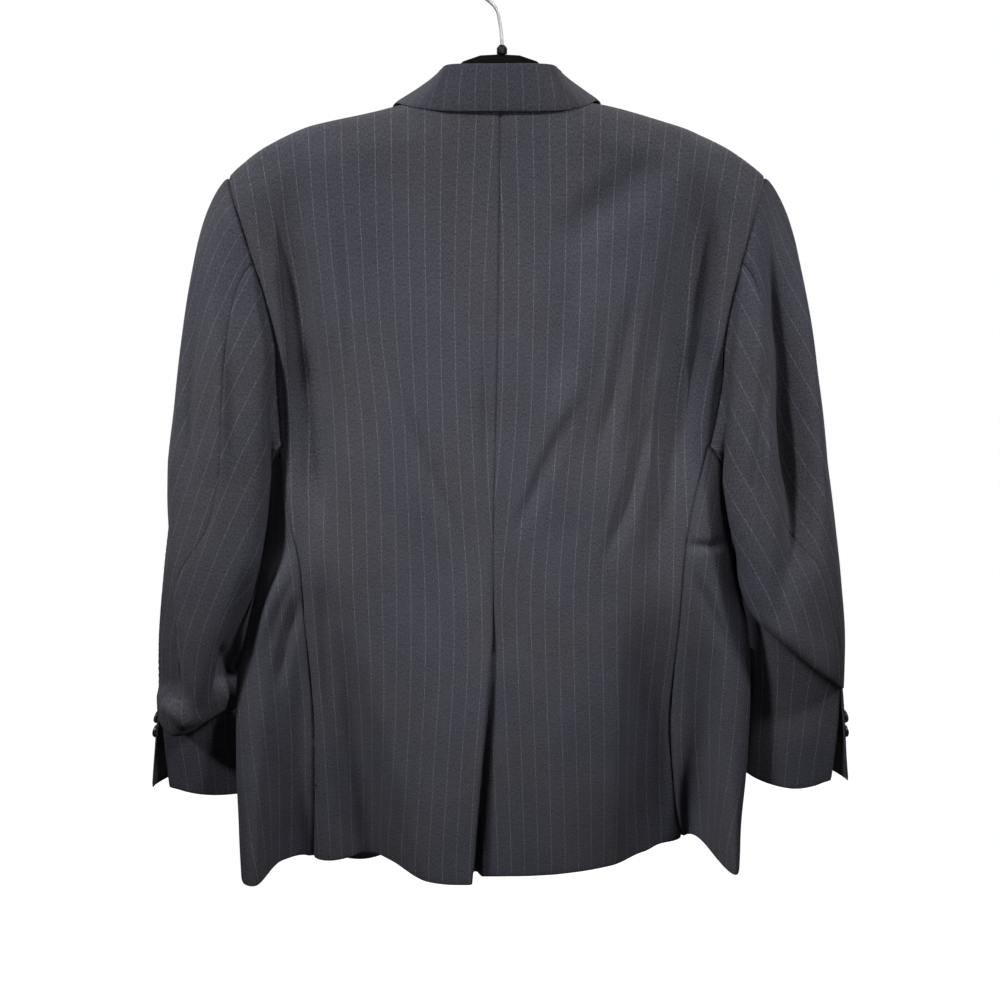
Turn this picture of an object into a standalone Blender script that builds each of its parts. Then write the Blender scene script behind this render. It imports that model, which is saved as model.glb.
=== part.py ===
"""Two-button pinstripe blazer hanging on a slim hanger, modelled in metres.

Frame: +Z up, the garment's front faces -Y and its back faces +Y.  The wearer's
left is +X.  The origin is the inside top of the hanger's hook.

Every cloth piece is a thin wall.  Its middle surface comes from tables of
sections: heights are z, distances from the centre are x, and depths are y.
Neighbouring pieces share the rows and the columns of their seam.
"""

import math

import bmesh
import bpy
from mathutils import Vector

# ---------------------------------------------------------------- sizes
WALL = 0.0016            # thickness of a cloth wall
EDGE_INSET = 0.00018     # each sewn edge is drawn in, for a seam gap of 0.3 mm or so
UNDERARM_INSET = 0.0012  # the side body's top, where the sleeve turns away sharply
FRONT_SEAM_INSET = 0.0006  # the side body's front edge, sharply turned at its top
LAY_ON = 0.0028          # middle surface to middle surface, piece laid on piece

Z_TIP = -0.192           # shoulder tips
Z_NECK = -0.129          # back neck seam
Z_HEM = -0.925           # back and side hem
T_CREST = 0.046          # share of the length in which the shoulder rounds over
T_UNDERARM = 0.352       # share of the length at which the armhole ends
Z_UNDERARM = Z_TIP + (Z_HEM - Z_TIP) * T_UNDERARM
NECK_SHARE = 0.342       # share of the half shoulder width taken by the neck
UNDERARM_DIP = 0.020     # how far the armhole dips between the two side seams

CREST_ROWS = 3
ARMHOLE_ROWS = 5
BODY_ROWS = 10
NECK_COLUMNS = 3
SHOULDER_COLUMNS = 6
SIDE_COLUMNS = 6
CAP_ROWS = 5

LEFT, RIGHT = 1, -1
NAMES = {LEFT: "left", RIGHT: "right"}


# ---------------------------------------------------------------- tables
def smooth_at(keys, values, key):
    """Cubic curve through the given values, level past its ends."""
    last = len(keys) - 1
    key = min(max(key, keys[0]), keys[last])
    i = 0
    while i < last - 1 and key > keys[i + 1]:
        i += 1

    def slope(k):
        low, high = max(k - 1, 0), min(k + 1, last)
        return (values[high] - values[low]) / (keys[high] - keys[low])

    span = keys[i + 1] - keys[i]
    s = (key - keys[i]) / span
    start, end = slope(i) * span, slope(i + 1) * span
    return (
        values[i] * (1 + 2 * s) * (1 - s) ** 2
        + start * s * (1 - s) ** 2
        + values[i + 1] * s * s * (3 - 2 * s)
        + end * s * s * (s - 1)
    )


class Table:
    """Rows of named columns, read smoothly between rows by the first column."""

    def __init__(self, columns, rows):
        self.names = columns.split()
        self.rows = sorted(rows)
        self.keys = [row[0] for row in self.rows]

    def at(self, name, key):
        column = self.names.index(name)
        return smooth_at(self.keys, [row[column] for row in self.rows], key)


def mix(a, b, share):
    return a + (b - a) * share


def clamp(value):
    return min(max(value, 0.0), 1.0)


def hump(distance):
    """A soft bump: one at zero distance, nothing from one on."""
    return math.cos(min(abs(distance), 1.0) * math.pi / 2) ** 2


# Top edge of the half body, from the centre back neck to the shoulder tip.
TOP_EDGE = Table("share z_left z_right y", [
    (0.000, -0.1290, -0.1290, 0.044),
    (0.170, -0.1285, -0.1285, 0.041),
    (0.270, -0.1275, -0.1270, 0.024),
    (0.342, -0.1275, -0.1266, 0.002),
    (0.450, -0.1335, -0.1318, 0.000),
    (0.630, -0.1430, -0.1440, 0.000),
    (0.720, -0.1494, -0.1513, 0.000),
    (0.860, -0.1655, -0.1672, 0.000),
    (0.960, -0.1830, -0.1842, 0.000),
    (1.000, -0.1920, -0.1920, 0.000),
])

# Centre back seam: it runs a little to the wearer's left on its way down.
CENTRE_BACK = Table("z x y", [
    (-0.129, 0.0000, 0.048),
    (-0.180, 0.0000, 0.053),
    (-0.260, 0.0009, 0.057),
    (-0.360, 0.0024, 0.058),
    (-0.460, 0.0049, 0.054),
    (-0.560, 0.0068, 0.049),
    (-0.650, 0.0074, 0.047),
    (-0.780, 0.0078, 0.047),
    (-0.925, 0.0080, 0.048),
])

# Outer edge of each back panel: armhole to the underarm, then the side seam.
BACK_EDGE = {
    LEFT: Table("z x y", [
        (-0.195, 0.2575, 0.012),
        (-0.210, 0.2520, 0.020),
        (-0.235, 0.2425, 0.028),
        (-0.270, 0.2320, 0.033),
        (-0.303, 0.2235, 0.035),
        (-0.353, 0.2150, 0.034),
        (-0.400, 0.2175, 0.024),
        (-0.452, 0.2180, 0.024),
        (-0.517, 0.2134, 0.032),
        (-0.569, 0.2040, 0.033),
        (-0.630, 0.2030, 0.030),
        (-0.743, 0.2010, 0.023),
        (-0.833, 0.2046, 0.017),
        (-0.925, 0.2107, 0.013),
    ]),
    RIGHT: Table("z x y", [
        (-0.195, 0.2512, 0.012),
        (-0.210, 0.2460, 0.020),
        (-0.235, 0.2370, 0.028),
        (-0.270, 0.2275, 0.033),
        (-0.303, 0.2215, 0.035),
        (-0.353, 0.2150, 0.034),
        (-0.400, 0.2155, 0.025),
        (-0.452, 0.2080, 0.026),
        (-0.517, 0.1940, 0.036),
        (-0.569, 0.1880, 0.035),
        (-0.630, 0.1865, 0.029),
        (-0.704, 0.1869, 0.018),
        (-0.782, 0.1895, 0.002),
        (-0.894, 0.2030, -0.020),
        (-0.925, 0.2116, -0.028),
    ]),
}

# Side body: valley, near side, outer edge and front seam, below the armhole.
SIDE = {
    LEFT: Table("z xv yv xn yn xe ye xf yf", [
        (-0.452, 0.225, 0.021, 0.232, 0.014, 0.238, 0.000, 0.226, -0.034),
        (-0.520, 0.226, 0.029, 0.236, 0.019, 0.243, 0.000, 0.230, -0.037),
        (-0.580, 0.222, 0.032, 0.240, 0.023, 0.252, 0.000, 0.236, -0.038),
        (-0.640, 0.224, 0.030, 0.249, 0.027, 0.267, 0.006, 0.243, -0.036),
        (-0.700, 0.228, 0.026, 0.257, 0.031, 0.280, 0.012, 0.247, -0.032),
        (-0.800, 0.235, 0.021, 0.261, 0.044, 0.284, 0.024, 0.251, -0.025),
        (-0.870, 0.240, 0.019, 0.262, 0.055, 0.283, 0.036, 0.251, -0.019),
        (-0.925, 0.244, 0.019, 0.262, 0.064, 0.280, 0.051, 0.250, -0.014),
    ]),
    RIGHT: Table("z xv yv xn yn xe ye xf yf", [
        (-0.452, 0.218, 0.021, 0.226, 0.014, 0.232, 0.000, 0.222, -0.034),
        (-0.520, 0.209, 0.031, 0.226, 0.021, 0.238, 0.000, 0.226, -0.038),
        (-0.580, 0.206, 0.032, 0.231, 0.024, 0.247, 0.000, 0.232, -0.040),
        (-0.640, 0.205, 0.025, 0.240, 0.025, 0.262, 0.006, 0.238, -0.041),
        (-0.700, 0.208, 0.015, 0.245, 0.024, 0.267, 0.010, 0.242, -0.042),
        (-0.800, 0.215, 0.000, 0.249, 0.026, 0.269, 0.012, 0.245, -0.044),
        (-0.870, 0.220, -0.015, 0.251, 0.034, 0.2655, 0.016, 0.245, -0.046),
        (-0.925, 0.225, -0.024, 0.2535, 0.042, 0.2625, 0.028, 0.244, -0.047),
    ]),
}
SIDE_STATIONS = (0.0, 0.22, 0.46, 0.68, 1.0)

# Front armhole edge: how far it is scooped in behind a straight line.
FRONT_ARMHOLE = Table("z scoop y", [
    (-0.195, 0.0000, -0.010),
    (-0.212, 0.0045, -0.018),
    (-0.240, 0.0120, -0.027),
    (-0.280, 0.0220, -0.035),
    (-0.330, 0.0270, -0.040),
    (-0.380, 0.0240, -0.041),
    (-0.420, 0.0130, -0.039),
    (-0.452, 0.0000, -0.034),
])

# Inner edge of each front: neck point, roll line, button stand, rounded corner.
FRONT_EDGE = Table("t x z y", [
    (0.00, 0.0880, -0.1275, -0.030),
    (0.05, 0.0840, -0.1560, -0.038),
    (0.14, 0.0660, -0.2300, -0.056),
    (0.30, 0.0380, -0.3600, -0.072),
    (0.46, 0.0060, -0.4900, -0.078),
    (0.54, -0.0190, -0.5550, -0.077),
    (0.70, -0.0195, -0.6900, -0.074),
    (0.82, -0.0120, -0.7930, -0.071),
    (0.90, 0.0060, -0.8620, -0.069),
    (0.96, 0.0340, -0.9150, -0.067),
    (1.00, 0.0800, -0.9440, -0.064),
])

# Depth of each front half-way between its two edges.
FRONT_MIDDLE = {
    LEFT: Table("t y", [
        (0.00, -0.033), (0.05, -0.043), (0.14, -0.063), (0.35, -0.079),
        (0.60, -0.072), (0.80, -0.056), (1.00, -0.043),
    ]),
    RIGHT: Table("t y", [
        (0.00, -0.033), (0.05, -0.043), (0.14, -0.063), (0.35, -0.079),
        (0.60, -0.079), (0.80, -0.081), (1.00, -0.084),
    ]),
}
FRONT_DROP = {LEFT: 0.030, RIGHT: 0.016}   # the front hem hangs this much lower
FRONT_LAP_LIFT = 0.0050                    # the left front lies outside the right
FLAT_EDGE = 0.17                           # share of a front that lies flat at its edge

# Soft folds of the back: a valley from its top to its low end.
FOLD_COLUMNS = "x_top z_top x_low z_low wide_top wide_low deep_top deep_low".split()
BACK_FOLDS = {
    LEFT: [
        (0.172, -0.640, 0.138, -0.925, 0.030, 0.055, 0.002, 0.028),
        (0.196, -0.240, 0.190, -0.470, 0.016, 0.020, 0.004, 0.004),
        (0.060, -0.560, 0.068, -0.925, 0.040, 0.045, 0.000, -0.003),
    ],
    RIGHT: [
        (0.190, -0.250, 0.160, -0.520, 0.016, 0.022, 0.004, 0.004),
        (0.100, -0.180, 0.070, -0.360, 0.040, 0.045, 0.003, 0.003),
    ],
}
FOLD_FADE = 0.25         # share of a fold's length over which its ends fade

# Vent: the wearer's left panel laps over an extension of the right panel.
VENT_TOP = -0.645
VENT_SPREAD = 0.022      # how far the lapping edge has drifted at the hem
VENT_LIFT = Table("z lift", [
    (-0.570, 0.0000), (-0.615, 0.0023), (-0.700, 0.0052), (-0.780, 0.0075), (-0.925, 0.0110),
])
VENT_LIFT_REACH = 0.110  # width over which the lifted panel settles back
VENT_EXTENSION = 0.035   # width of the extension beyond the lapping edge
VENT_START = 0.12        # share of the vent in which the extension starts


# ---------------------------------------------------------------- body surfaces
def top_edge(side, share):
    """Height of the top edge of one half."""
    return TOP_EDGE.at("z_" + NAMES[side], share)


def body_rows():
    """Shares of the length at which every body panel has a row."""
    quarter = math.pi / 2 / CREST_ROWS
    rows = [T_CREST * (1 - math.cos(k * quarter)) for k in range(CREST_ROWS)]
    rows += [mix(T_CREST, T_UNDERARM, k / ARMHOLE_ROWS) for k in range(ARMHOLE_ROWS)]
    rows += [mix(T_UNDERARM, 1.0, k / BODY_ROWS) for k in range(BODY_ROWS + 1)]
    return rows


def armhole_rows():
    return [t for t in body_rows() if t <= T_UNDERARM + 1e-9]


def crest_share(t):
    """How far the cloth has rounded over the shoulder, from none to all."""
    left_over = 1 - min(t / T_CREST, 1.0)
    return math.sqrt(1 - left_over * left_over)


def fold_depth(folds, x, z):
    """Sum of the valleys that reach the point (x, z) of a back panel."""
    total = 0.0
    for row in folds:
        fold = dict(zip(FOLD_COLUMNS, row))
        share = (fold["z_top"] - z) / (fold["z_top"] - fold["z_low"])
        beyond = max(-share, share - 1, 0.0)
        share = clamp(share)
        middle = mix(fold["x_top"], fold["x_low"], share)
        wide = mix(fold["wide_top"], fold["wide_low"], share)
        deep = mix(fold["deep_top"], fold["deep_low"], share)
        total += deep * hump((x - middle) / wide) * hump(beyond / FOLD_FADE)
    return total


def vent_share(z):
    """How far down the vent a height is, from its top to the hem."""
    return clamp((VENT_TOP - z) / (VENT_TOP - Z_HEM))


def back_inner_x(side, z):
    """Inner edge of a back panel, measured outwards on its own side."""
    seam = side * CENTRE_BACK.at("x", z)
    share = vent_share(z)
    if side == LEFT:
        return seam + VENT_SPREAD * share
    grown = clamp(share / VENT_START - 0.5)
    return seam - (VENT_SPREAD * share + VENT_EXTENSION) * grown


def back_point(side, u, t):
    """A point of a back panel: u from its inner edge to its outer edge."""
    z_centre = mix(Z_NECK, Z_HEM, t)
    z_edge = mix(Z_TIP, Z_HEM, t)
    inner = back_inner_x(side, z_centre)
    outer = BACK_EDGE[side].at("x", z_edge)
    seam = side * CENTRE_BACK.at("x", z_centre)
    x = mix(inner, outer, u)
    share = clamp((x - seam) / (outer - seam))
    z = mix(top_edge(side, share), Z_HEM, t)
    y = mix(CENTRE_BACK.at("y", z_centre), BACK_EDGE[side].at("y", z_edge), share ** 2.6)
    y -= fold_depth(BACK_FOLDS[side], x, z)
    if side == LEFT:
        y += VENT_LIFT.at("lift", z_centre) * hump((x - inner) / VENT_LIFT_REACH)
    y = mix(TOP_EDGE.at("y", share), y, crest_share(t))
    return Vector((side * x, y, z))


def side_point(side, v, t):
    """A point of a side body: v from its back seam to its front seam."""
    z = mix(Z_TIP, Z_HEM, t)
    xs = [BACK_EDGE[side].at("x", z)] + [SIDE[side].at(c, z) for c in ("xv", "xn", "xe", "xf")]
    ys = [BACK_EDGE[side].at("y", z)] + [SIDE[side].at(c, z) for c in ("yv", "yn", "ye", "yf")]
    below = (t - T_UNDERARM) / (1 - T_UNDERARM)
    dip = UNDERARM_DIP * math.sin(math.pi * v) * (1 - below)
    x = smooth_at(SIDE_STATIONS, xs, v)
    y = smooth_at(SIDE_STATIONS, ys, v)
    return Vector((side * x, y, z - dip))


def front_outer(side, t):
    """Outer edge of a front: the armhole, then the side seam."""
    z = mix(Z_TIP, Z_HEM, t)
    if t >= T_UNDERARM:
        return SIDE[side].at("xf", z), SIDE[side].at("yf", z), z
    tip = BACK_EDGE[side].at("x", Z_TIP)
    underarm = SIDE[side].at("xf", Z_UNDERARM)
    straight = mix(tip, underarm, (Z_TIP - z) / (Z_TIP - Z_UNDERARM))
    return straight - FRONT_ARMHOLE.at("scoop", z), FRONT_ARMHOLE.at("y", z), z


def front_point(side, u, t):
    """A point of a front: u from its inner edge to its outer edge."""
    x_out, y_out, z_out = front_outer(side, t)
    neck = BACK_EDGE[side].at("x", Z_TIP) * NECK_SHARE
    x_in = FRONT_EDGE.at("x", t) + (neck - FRONT_EDGE.at("x", 0)) * (1 - clamp(t / 0.10))
    z_in = FRONT_EDGE.at("z", t)
    y_in = FRONT_EDGE.at("y", t)
    x = mix(x_in, x_out, u)
    top = top_edge(side, mix(NECK_SHARE, 1.0, u))
    z = mix(top, mix(z_in, z_out, u), clamp(t / 0.10))
    z -= FRONT_DROP[side] * hump((u - 0.45) / 0.55) * clamp((t - 0.6) / 0.4) ** 2
    depths = (y_in, y_in, FRONT_MIDDLE[side].at("y", t), y_out)
    y = smooth_at((0.0, FLAT_EDGE, 0.5, 1.0), depths, u)
    if side == LEFT:
        y -= FRONT_LAP_LIFT * hump(u / 0.60) * clamp((t - 0.30) / 0.15)
    return Vector((side * x, mix(TOP_EDGE.at("y", 1.0), y, crest_share(t)), z))


# ---------------------------------------------------------------- sleeve surface
# Sleeve rings below the cap.  A ring's outer and inner sides have their own
# heights, and x_ib is its inner back corner.  Ring 4 is the lip of the elbow's
# sagging fold and ring 5 lies tucked under it.  The last column is the angle of
# the hindarm seam, which drifts outwards on its way down to the cuff's vent.
SLEEVE = {
    LEFT: Table("row z_out z_in x_out y_out x_in x_ib y_back y_front sag seam", [
        (0, -0.465, -0.487, 0.3345, -0.002, 0.2460, 0.2275, 0.052, -0.056, 0.000, 84),
        (1, -0.525, -0.528, 0.3410, -0.001, 0.2510, 0.2345, 0.054, -0.056, 0.000, 76),
        (2, -0.590, -0.575, 0.3525, -0.001, 0.2580, 0.2460, 0.054, -0.056, 0.000, 50),
        (3, -0.665, -0.648, 0.3645, -0.002, 0.2740, 0.2770, 0.052, -0.056, 0.000, 40),
        (4, -0.744, -0.738, 0.3715, -0.004, 0.2860, 0.3100, 0.044, -0.056, 0.012, 14),
        (5, -0.750, -0.742, 0.3715, -0.010, 0.2880, 0.3000, 0.012, -0.057, 0.010, 12),
        (6, -0.772, -0.762, 0.3735, -0.012, 0.2830, 0.2880, 0.000, -0.060, 0.003, 9),
        (7, -0.808, -0.806, 0.3735, -0.013, 0.2700, 0.2760, -0.004, -0.064, 0.003, 8),
        (8, -0.849, -0.852, 0.3735, -0.014, 0.2640, 0.2730, -0.006, -0.066, 0.007, 8),
    ]),
    RIGHT: Table("row z_out z_in x_out y_out x_in x_ib y_back y_front sag seam", [
        (0, -0.465, -0.487, 0.3300, -0.002, 0.2400, 0.2190, 0.052, -0.056, 0.000, 84),
        (1, -0.525, -0.525, 0.3415, -0.001, 0.2460, 0.2275, 0.054, -0.056, 0.000, 76),
        (2, -0.590, -0.562, 0.3540, -0.001, 0.2530, 0.2400, 0.054, -0.056, 0.000, 50),
        (3, -0.650, -0.592, 0.3635, -0.001, 0.2620, 0.2500, 0.052, -0.056, 0.003, 40),
        (4, -0.716, -0.614, 0.3700, -0.004, 0.2730, 0.2640, 0.046, -0.056, 0.004, 14),
        (5, -0.724, -0.620, 0.3720, -0.009, 0.2800, 0.2800, 0.010, -0.057, 0.004, 12),
        (6, -0.764, -0.690, 0.3745, -0.012, 0.2780, 0.2830, -0.002, -0.060, 0.000, 9),
        (7, -0.804, -0.768, 0.3745, -0.014, 0.2690, 0.2760, -0.005, -0.064, 0.008, 8),
        (8, -0.842, -0.826, 0.3740, -0.016, 0.2640, 0.2730, -0.007, -0.066, 0.015, 8),
    ]),
}
SLEEVE_ROWS = 8
HINDARM_ROW = 4          # armhole row at which the sleeve's back seam starts
FOREARM_ROW = 6          # armhole row at which its front seam starts
HINDARM_ANGLE = 42       # angle round the armhole of the back seam's start
VENT_FLARE = Table("row out", [(5.0, 0.0), (6.0, 0.005), (7.0, 0.011), (8.0, 0.018)])
VENT_FLARE_COLUMNS = 3

# Way out of the armhole and way into the first ring, at its top and underarm.
CAP_OUT_TOP, CAP_OUT_UNDER = (0.038, -0.028), (0.007, 0.002)
CAP_OUT_SIDEWAYS = 0.013
CAP_IN_TOP, CAP_IN_UNDER = (-0.0165, 0.105), (0.0, 0.006)


def armhole_loop(side):
    """The armhole's points, from the shoulder tip down the back and round."""
    back = [back_point(side, 1.0, t) for t in armhole_rows()]
    under = [side_point(side, k / SIDE_COLUMNS, T_UNDERARM) for k in range(1, SIDE_COLUMNS)]
    front = [front_point(side, 1.0, t) for t in reversed(armhole_rows()[1:])]
    return back + under + front


def loop_shares(loop):
    """Each point's share of the way round a closed loop."""
    steps = [(b - a).length for a, b in zip(loop, loop[1:] + loop[:1])]
    done, shares = 0.0, []
    for step in steps:
        shares.append(done / sum(steps))
        done += step
    return shares


def ring_point(side, row, share):
    """A point of a sleeve ring, share measured from the outer side by the back."""
    table = SLEEVE[side]
    size = {name: table.at(name, row) for name in table.names[1:]}
    natural = math.radians(HINDARM_ANGLE)
    angle = 2 * math.pi * share
    near_seam = (1 + math.cos(angle - natural)) / 2
    angle -= (natural - math.radians(size["seam"])) * near_seam
    x_out, x_in, x_ib = size["x_out"], size["x_in"], size["x_ib"]
    y_back, y_front = size["y_back"], size["y_front"]
    x_mid, y_mid, y_out = (x_out + x_in) / 2, (y_back + y_front) / 2, size["y_out"]
    corner = 0.74
    stations = [
        (x_out, y_out),
        (mix(x_mid, x_out, corner), mix(y_out, y_back, corner)),
        (mix(x_ib, x_out, 0.48), y_back),
        (x_ib + 0.004, mix(y_mid, y_back, 0.80)),
        (x_in, mix(y_mid, y_front, 0.10)),
        (mix(x_mid, x_in, corner), mix(y_mid, y_front, corner)),
        (x_mid, y_front),
        (mix(x_mid, x_out, corner), mix(y_out, y_front, corner)),
    ]
    count = len(stations)
    place = (angle / (2 * math.pi) * count) % count
    keys = list(range(-2, count + 3))
    x = smooth_at(keys, [stations[k % count][0] for k in keys], place)
    y = smooth_at(keys, [stations[k % count][1] for k in keys], place)
    z = mix(size["z_out"], size["z_in"], (1 - math.cos(angle)) / 2)
    turn = math.atan2(math.sin(angle - math.pi / 2), math.cos(angle - math.pi / 2))
    z -= size["sag"] * hump(turn / math.radians(75))
    return Vector((side * x, y, z))


def cap_point(side, start, share, s):
    """A point of the sleeve cap between the armhole and the first ring."""
    angle = 2 * math.pi * share
    top = (1 + math.cos(angle)) / 2
    end = ring_point(side, 0, share)
    leave = Vector((
        side * mix(CAP_OUT_UNDER[0], CAP_OUT_TOP[0], top),
        CAP_OUT_SIDEWAYS * math.sin(angle),
        mix(CAP_OUT_UNDER[1], CAP_OUT_TOP[1], top),
    ))
    arrive = Vector((
        side * mix(CAP_IN_UNDER[0], CAP_IN_TOP[0], top),
        0.0,
        mix(CAP_IN_UNDER[1], CAP_IN_TOP[1], top),
    ))
    b = 1 - s
    return (
        start * b ** 3 + (start + leave) * 3 * b * b * s
        + (end + arrive) * 3 * b * s * s + end * s ** 3
    )


def sleeve_grid(side):
    """Rows of the whole sleeve, each row a closed ring of points."""
    loop = armhole_loop(side)
    shares = loop_shares(loop)
    cap = [
        [cap_point(side, p, share, k / CAP_ROWS) for p, share in zip(loop, shares)]
        for k in range(CAP_ROWS)
    ]
    tube = [[ring_point(side, row, share) for share in shares] for row in range(SLEEVE_ROWS + 1)]
    return cap + tube


# ---------------------------------------------------------------- cloth walls
class Panel:
    """A cloth piece: a grid of points with the direction that faces outwards."""

    def __init__(self, name, points, inside, top_inset=EDGE_INSET, last_inset=EDGE_INSET):
        self.name = name
        self.points = points
        self.top_inset = top_inset
        self.last_inset = last_inset
        self.normals = self.face_out(inside)

    def face_out(self, inside):
        rows, columns = len(self.points), len(self.points[0])
        normals = []
        for i in range(rows):
            line = []
            for j in range(columns):
                across = self.at(i, j + 1) - self.at(i, j - 1)
                down = self.at(i + 1, j) - self.at(i - 1, j)
                line.append(across.cross(down).normalized())
            normals.append(line)
        facing = sum(
            normals[i][j].dot(self.points[i][j] - inside(self.points[i][j]))
            for i in range(rows) for j in range(columns)
        )
        if facing < 0:
            normals = [[-n for n in line] for line in normals]
        return normals

    def at(self, i, j):
        i = min(max(i, 0), len(self.points) - 1)
        j = min(max(j, 0), len(self.points[0]) - 1)
        return self.points[i][j]

    def edge(self, name):
        """Grid places along one edge: top, low, first or last."""
        rows, columns = len(self.points), len(self.points[0])
        return {
            "top": [(0, j) for j in range(columns)],
            "low": [(rows - 1, j) for j in range(columns)],
            "first": [(i, 0) for i in range(rows)],
            "last": [(i, columns - 1) for i in range(rows)],
        }[name]

    def drawn_in(self):
        """The points with every edge drawn in by about half a seam's gap."""
        rows, columns = len(self.points), len(self.points[0])
        result = [[p.copy() for p in line] for line in self.points]
        for i in range(rows):
            for j in range(columns):
                for at_edge, neighbour, inset in (
                    (i == 0, (i + 1, j), self.top_inset),
                    (i == rows - 1, (i - 1, j), EDGE_INSET),
                    (j == 0, (i, j + 1), EDGE_INSET),
                    (j == columns - 1, (i, j - 1), self.last_inset),
                ):
                    if at_edge:
                        towards = self.at(*neighbour) - self.points[i][j]
                        result[i][j] += towards.normalized() * inset
        return result


def join_normals(first, first_places, second, second_places):
    """Give both sides of a seam the same outward direction, so walls mitre."""
    for (i, j), (k, m) in zip(first_places, second_places):
        shared = first.normals[i][j] + second.normals[k][m]
        if shared.length > 0.2:
            first.normals[i][j] = shared.normalized()
            second.normals[k][m] = shared.normalized()


def grid(point, columns, rows):
    return [[point(u, t) for u in columns] for t in rows]


def wall_object(panel, material, thickness=WALL):
    """Build a panel as one closed wall around its middle surface."""
    points = panel.drawn_in()
    rows, columns = len(points), len(points[0])
    mesh = bmesh.new()
    skins = []
    for offset in (thickness / 2, -thickness / 2):
        skins.append([
            [mesh.verts.new(points[i][j] + panel.normals[i][j] * offset) for j in range(columns)]
            for i in range(rows)
        ])
    outer, inner = skins
    for i in range(rows - 1):
        for j in range(columns - 1):
            mesh.faces.new((outer[i][j], outer[i][j + 1], outer[i + 1][j + 1], outer[i + 1][j]))
            mesh.faces.new((inner[i][j], inner[i + 1][j], inner[i + 1][j + 1], inner[i][j + 1]))
    rim = panel.edge("top") + panel.edge("last")[1:]
    rim += panel.edge("low")[-2::-1] + panel.edge("first")[-2:0:-1]
    for (i, j), (k, m) in zip(rim, rim[1:] + rim[:1]):
        mesh.faces.new((outer[i][j], inner[i][j], inner[k][m], outer[k][m]))
    bmesh.ops.recalc_face_normals(mesh, faces=mesh.faces)
    return finished(mesh, panel.name, material)


def finished(mesh, name, material):
    data = bpy.data.meshes.new(name)
    bmesh.ops.triangulate(mesh, faces=mesh.faces)
    mesh.to_mesh(data)
    mesh.free()
    data.shade_smooth()
    data.set_sharp_from_angle(angle=math.radians(40))
    data.materials.append(material)
    built = bpy.data.objects.new(name, data)
    bpy.context.scene.collection.objects.link(built)
    return built


def new_material(name, colour, roughness, metallic=0.0):
    material = bpy.data.materials.new(name)
    material.use_nodes = True
    shader = material.node_tree.nodes["Principled BSDF"]
    shader.inputs["Base Color"].default_value = (*colour, 1)
    shader.inputs["Roughness"].default_value = roughness
    shader.inputs["Metallic"].default_value = metallic
    return material


# ---------------------------------------------------------------- body pieces
def body_axis(point):
    return Vector((0.0, -0.01, point.z))


def neck_columns():
    return [NECK_SHARE * k / NECK_COLUMNS for k in range(NECK_COLUMNS)]


def shoulder_columns():
    return [mix(NECK_SHARE, 1.0, k / SHOULDER_COLUMNS) for k in range(SHOULDER_COLUMNS + 1)]


def back_panel(side):
    columns = neck_columns() + shoulder_columns()
    points = grid(lambda u, t: back_point(side, u, t), columns, body_rows())
    return Panel("back_" + NAMES[side], points, body_axis)


def front_panel(side):
    columns = [k / SHOULDER_COLUMNS for k in range(SHOULDER_COLUMNS + 1)]
    points = grid(lambda u, t: front_point(side, u, t), columns, body_rows())
    return Panel("front_" + NAMES[side], points, body_axis)


def side_panel(side):
    rows = [t for t in body_rows() if t >= T_UNDERARM - 1e-9]
    columns = [k / SIDE_COLUMNS for k in range(SIDE_COLUMNS + 1)]
    points = grid(lambda v, t: side_point(side, v, t), columns, rows)
    return Panel("side_" + NAMES[side], points, body_axis, UNDERARM_INSET, FRONT_SEAM_INSET)


def sleeve_panels(side):
    """The under sleeve and the top sleeve, cut from the same rings."""
    rings = sleeve_grid(side)
    count = len(rings[0])
    last_back = len(armhole_rows()) - 1
    hindarm = HINDARM_ROW
    forearm = last_back + SIDE_COLUMNS + (last_back - FOREARM_ROW)

    def sleeve_axis(point):
        middle = sum((p for p in nearest_ring(rings, point)), Vector()) / count
        return Vector((middle.x, middle.y, point.z))

    under = [[ring[j] for j in range(hindarm, forearm + 1)] for ring in rings]
    top = [[ring[j % count] for j in range(forearm, count + hindarm + 1)] for ring in rings]
    for row in range(SLEEVE_ROWS + 1):
        line = top[CAP_ROWS + row]
        for k in range(VENT_FLARE_COLUMNS):
            flare = VENT_FLARE.at("out", row) * hump(k / VENT_FLARE_COLUMNS)
            line[-1 - k] = line[-1 - k] + Vector((side * flare, 0, 0))
    return (
        Panel("sleeve_under_" + NAMES[side], under, sleeve_axis),
        Panel("sleeve_top_" + NAMES[side], top, sleeve_axis),
        hindarm, forearm,
    )


def nearest_ring(rings, point):
    return min(rings, key=lambda ring: abs(sum(p.z for p in ring) / len(ring) - point.z))


def sew_sleeve(body, under, top, hindarm, forearm):
    """Share outward directions round the armhole and along both sleeve seams."""
    back, under_arm, front = body
    rows = len(armhole_rows())
    loop = [(back, (i, len(back.points[0]) - 1)) for i in range(rows)]
    loop += [(under_arm, (0, j)) for j in range(1, SIDE_COLUMNS)]
    loop += [(front, (i, len(front.points[0]) - 1)) for i in range(rows - 1, 0, -1)]
    count = len(loop)
    for k, (panel, place) in enumerate(loop):
        if hindarm <= k <= forearm:
            join_normals(panel, [place], under, [(0, k - hindarm)])
        if k >= forearm or k <= hindarm:
            column = (k - forearm) % count
            join_normals(panel, [place], top, [(0, column)])
    join_normals(under, under.edge("first")[1:], top, top.edge("last")[1:])
    join_normals(under, under.edge("last")[1:], top, top.edge("first")[1:])


def sew_body(back, side_body, front):
    """Share outward directions along the shoulder and both side seams."""
    neck = NECK_COLUMNS
    join_normals(back, back.edge("top")[neck:], front, front.edge("top"))
    lower = len(armhole_rows()) - 1
    join_normals(back, back.edge("last")[lower:], side_body, side_body.edge("first"))
    join_normals(front, front.edge("last")[lower:], side_body, side_body.edge("last"))


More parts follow.
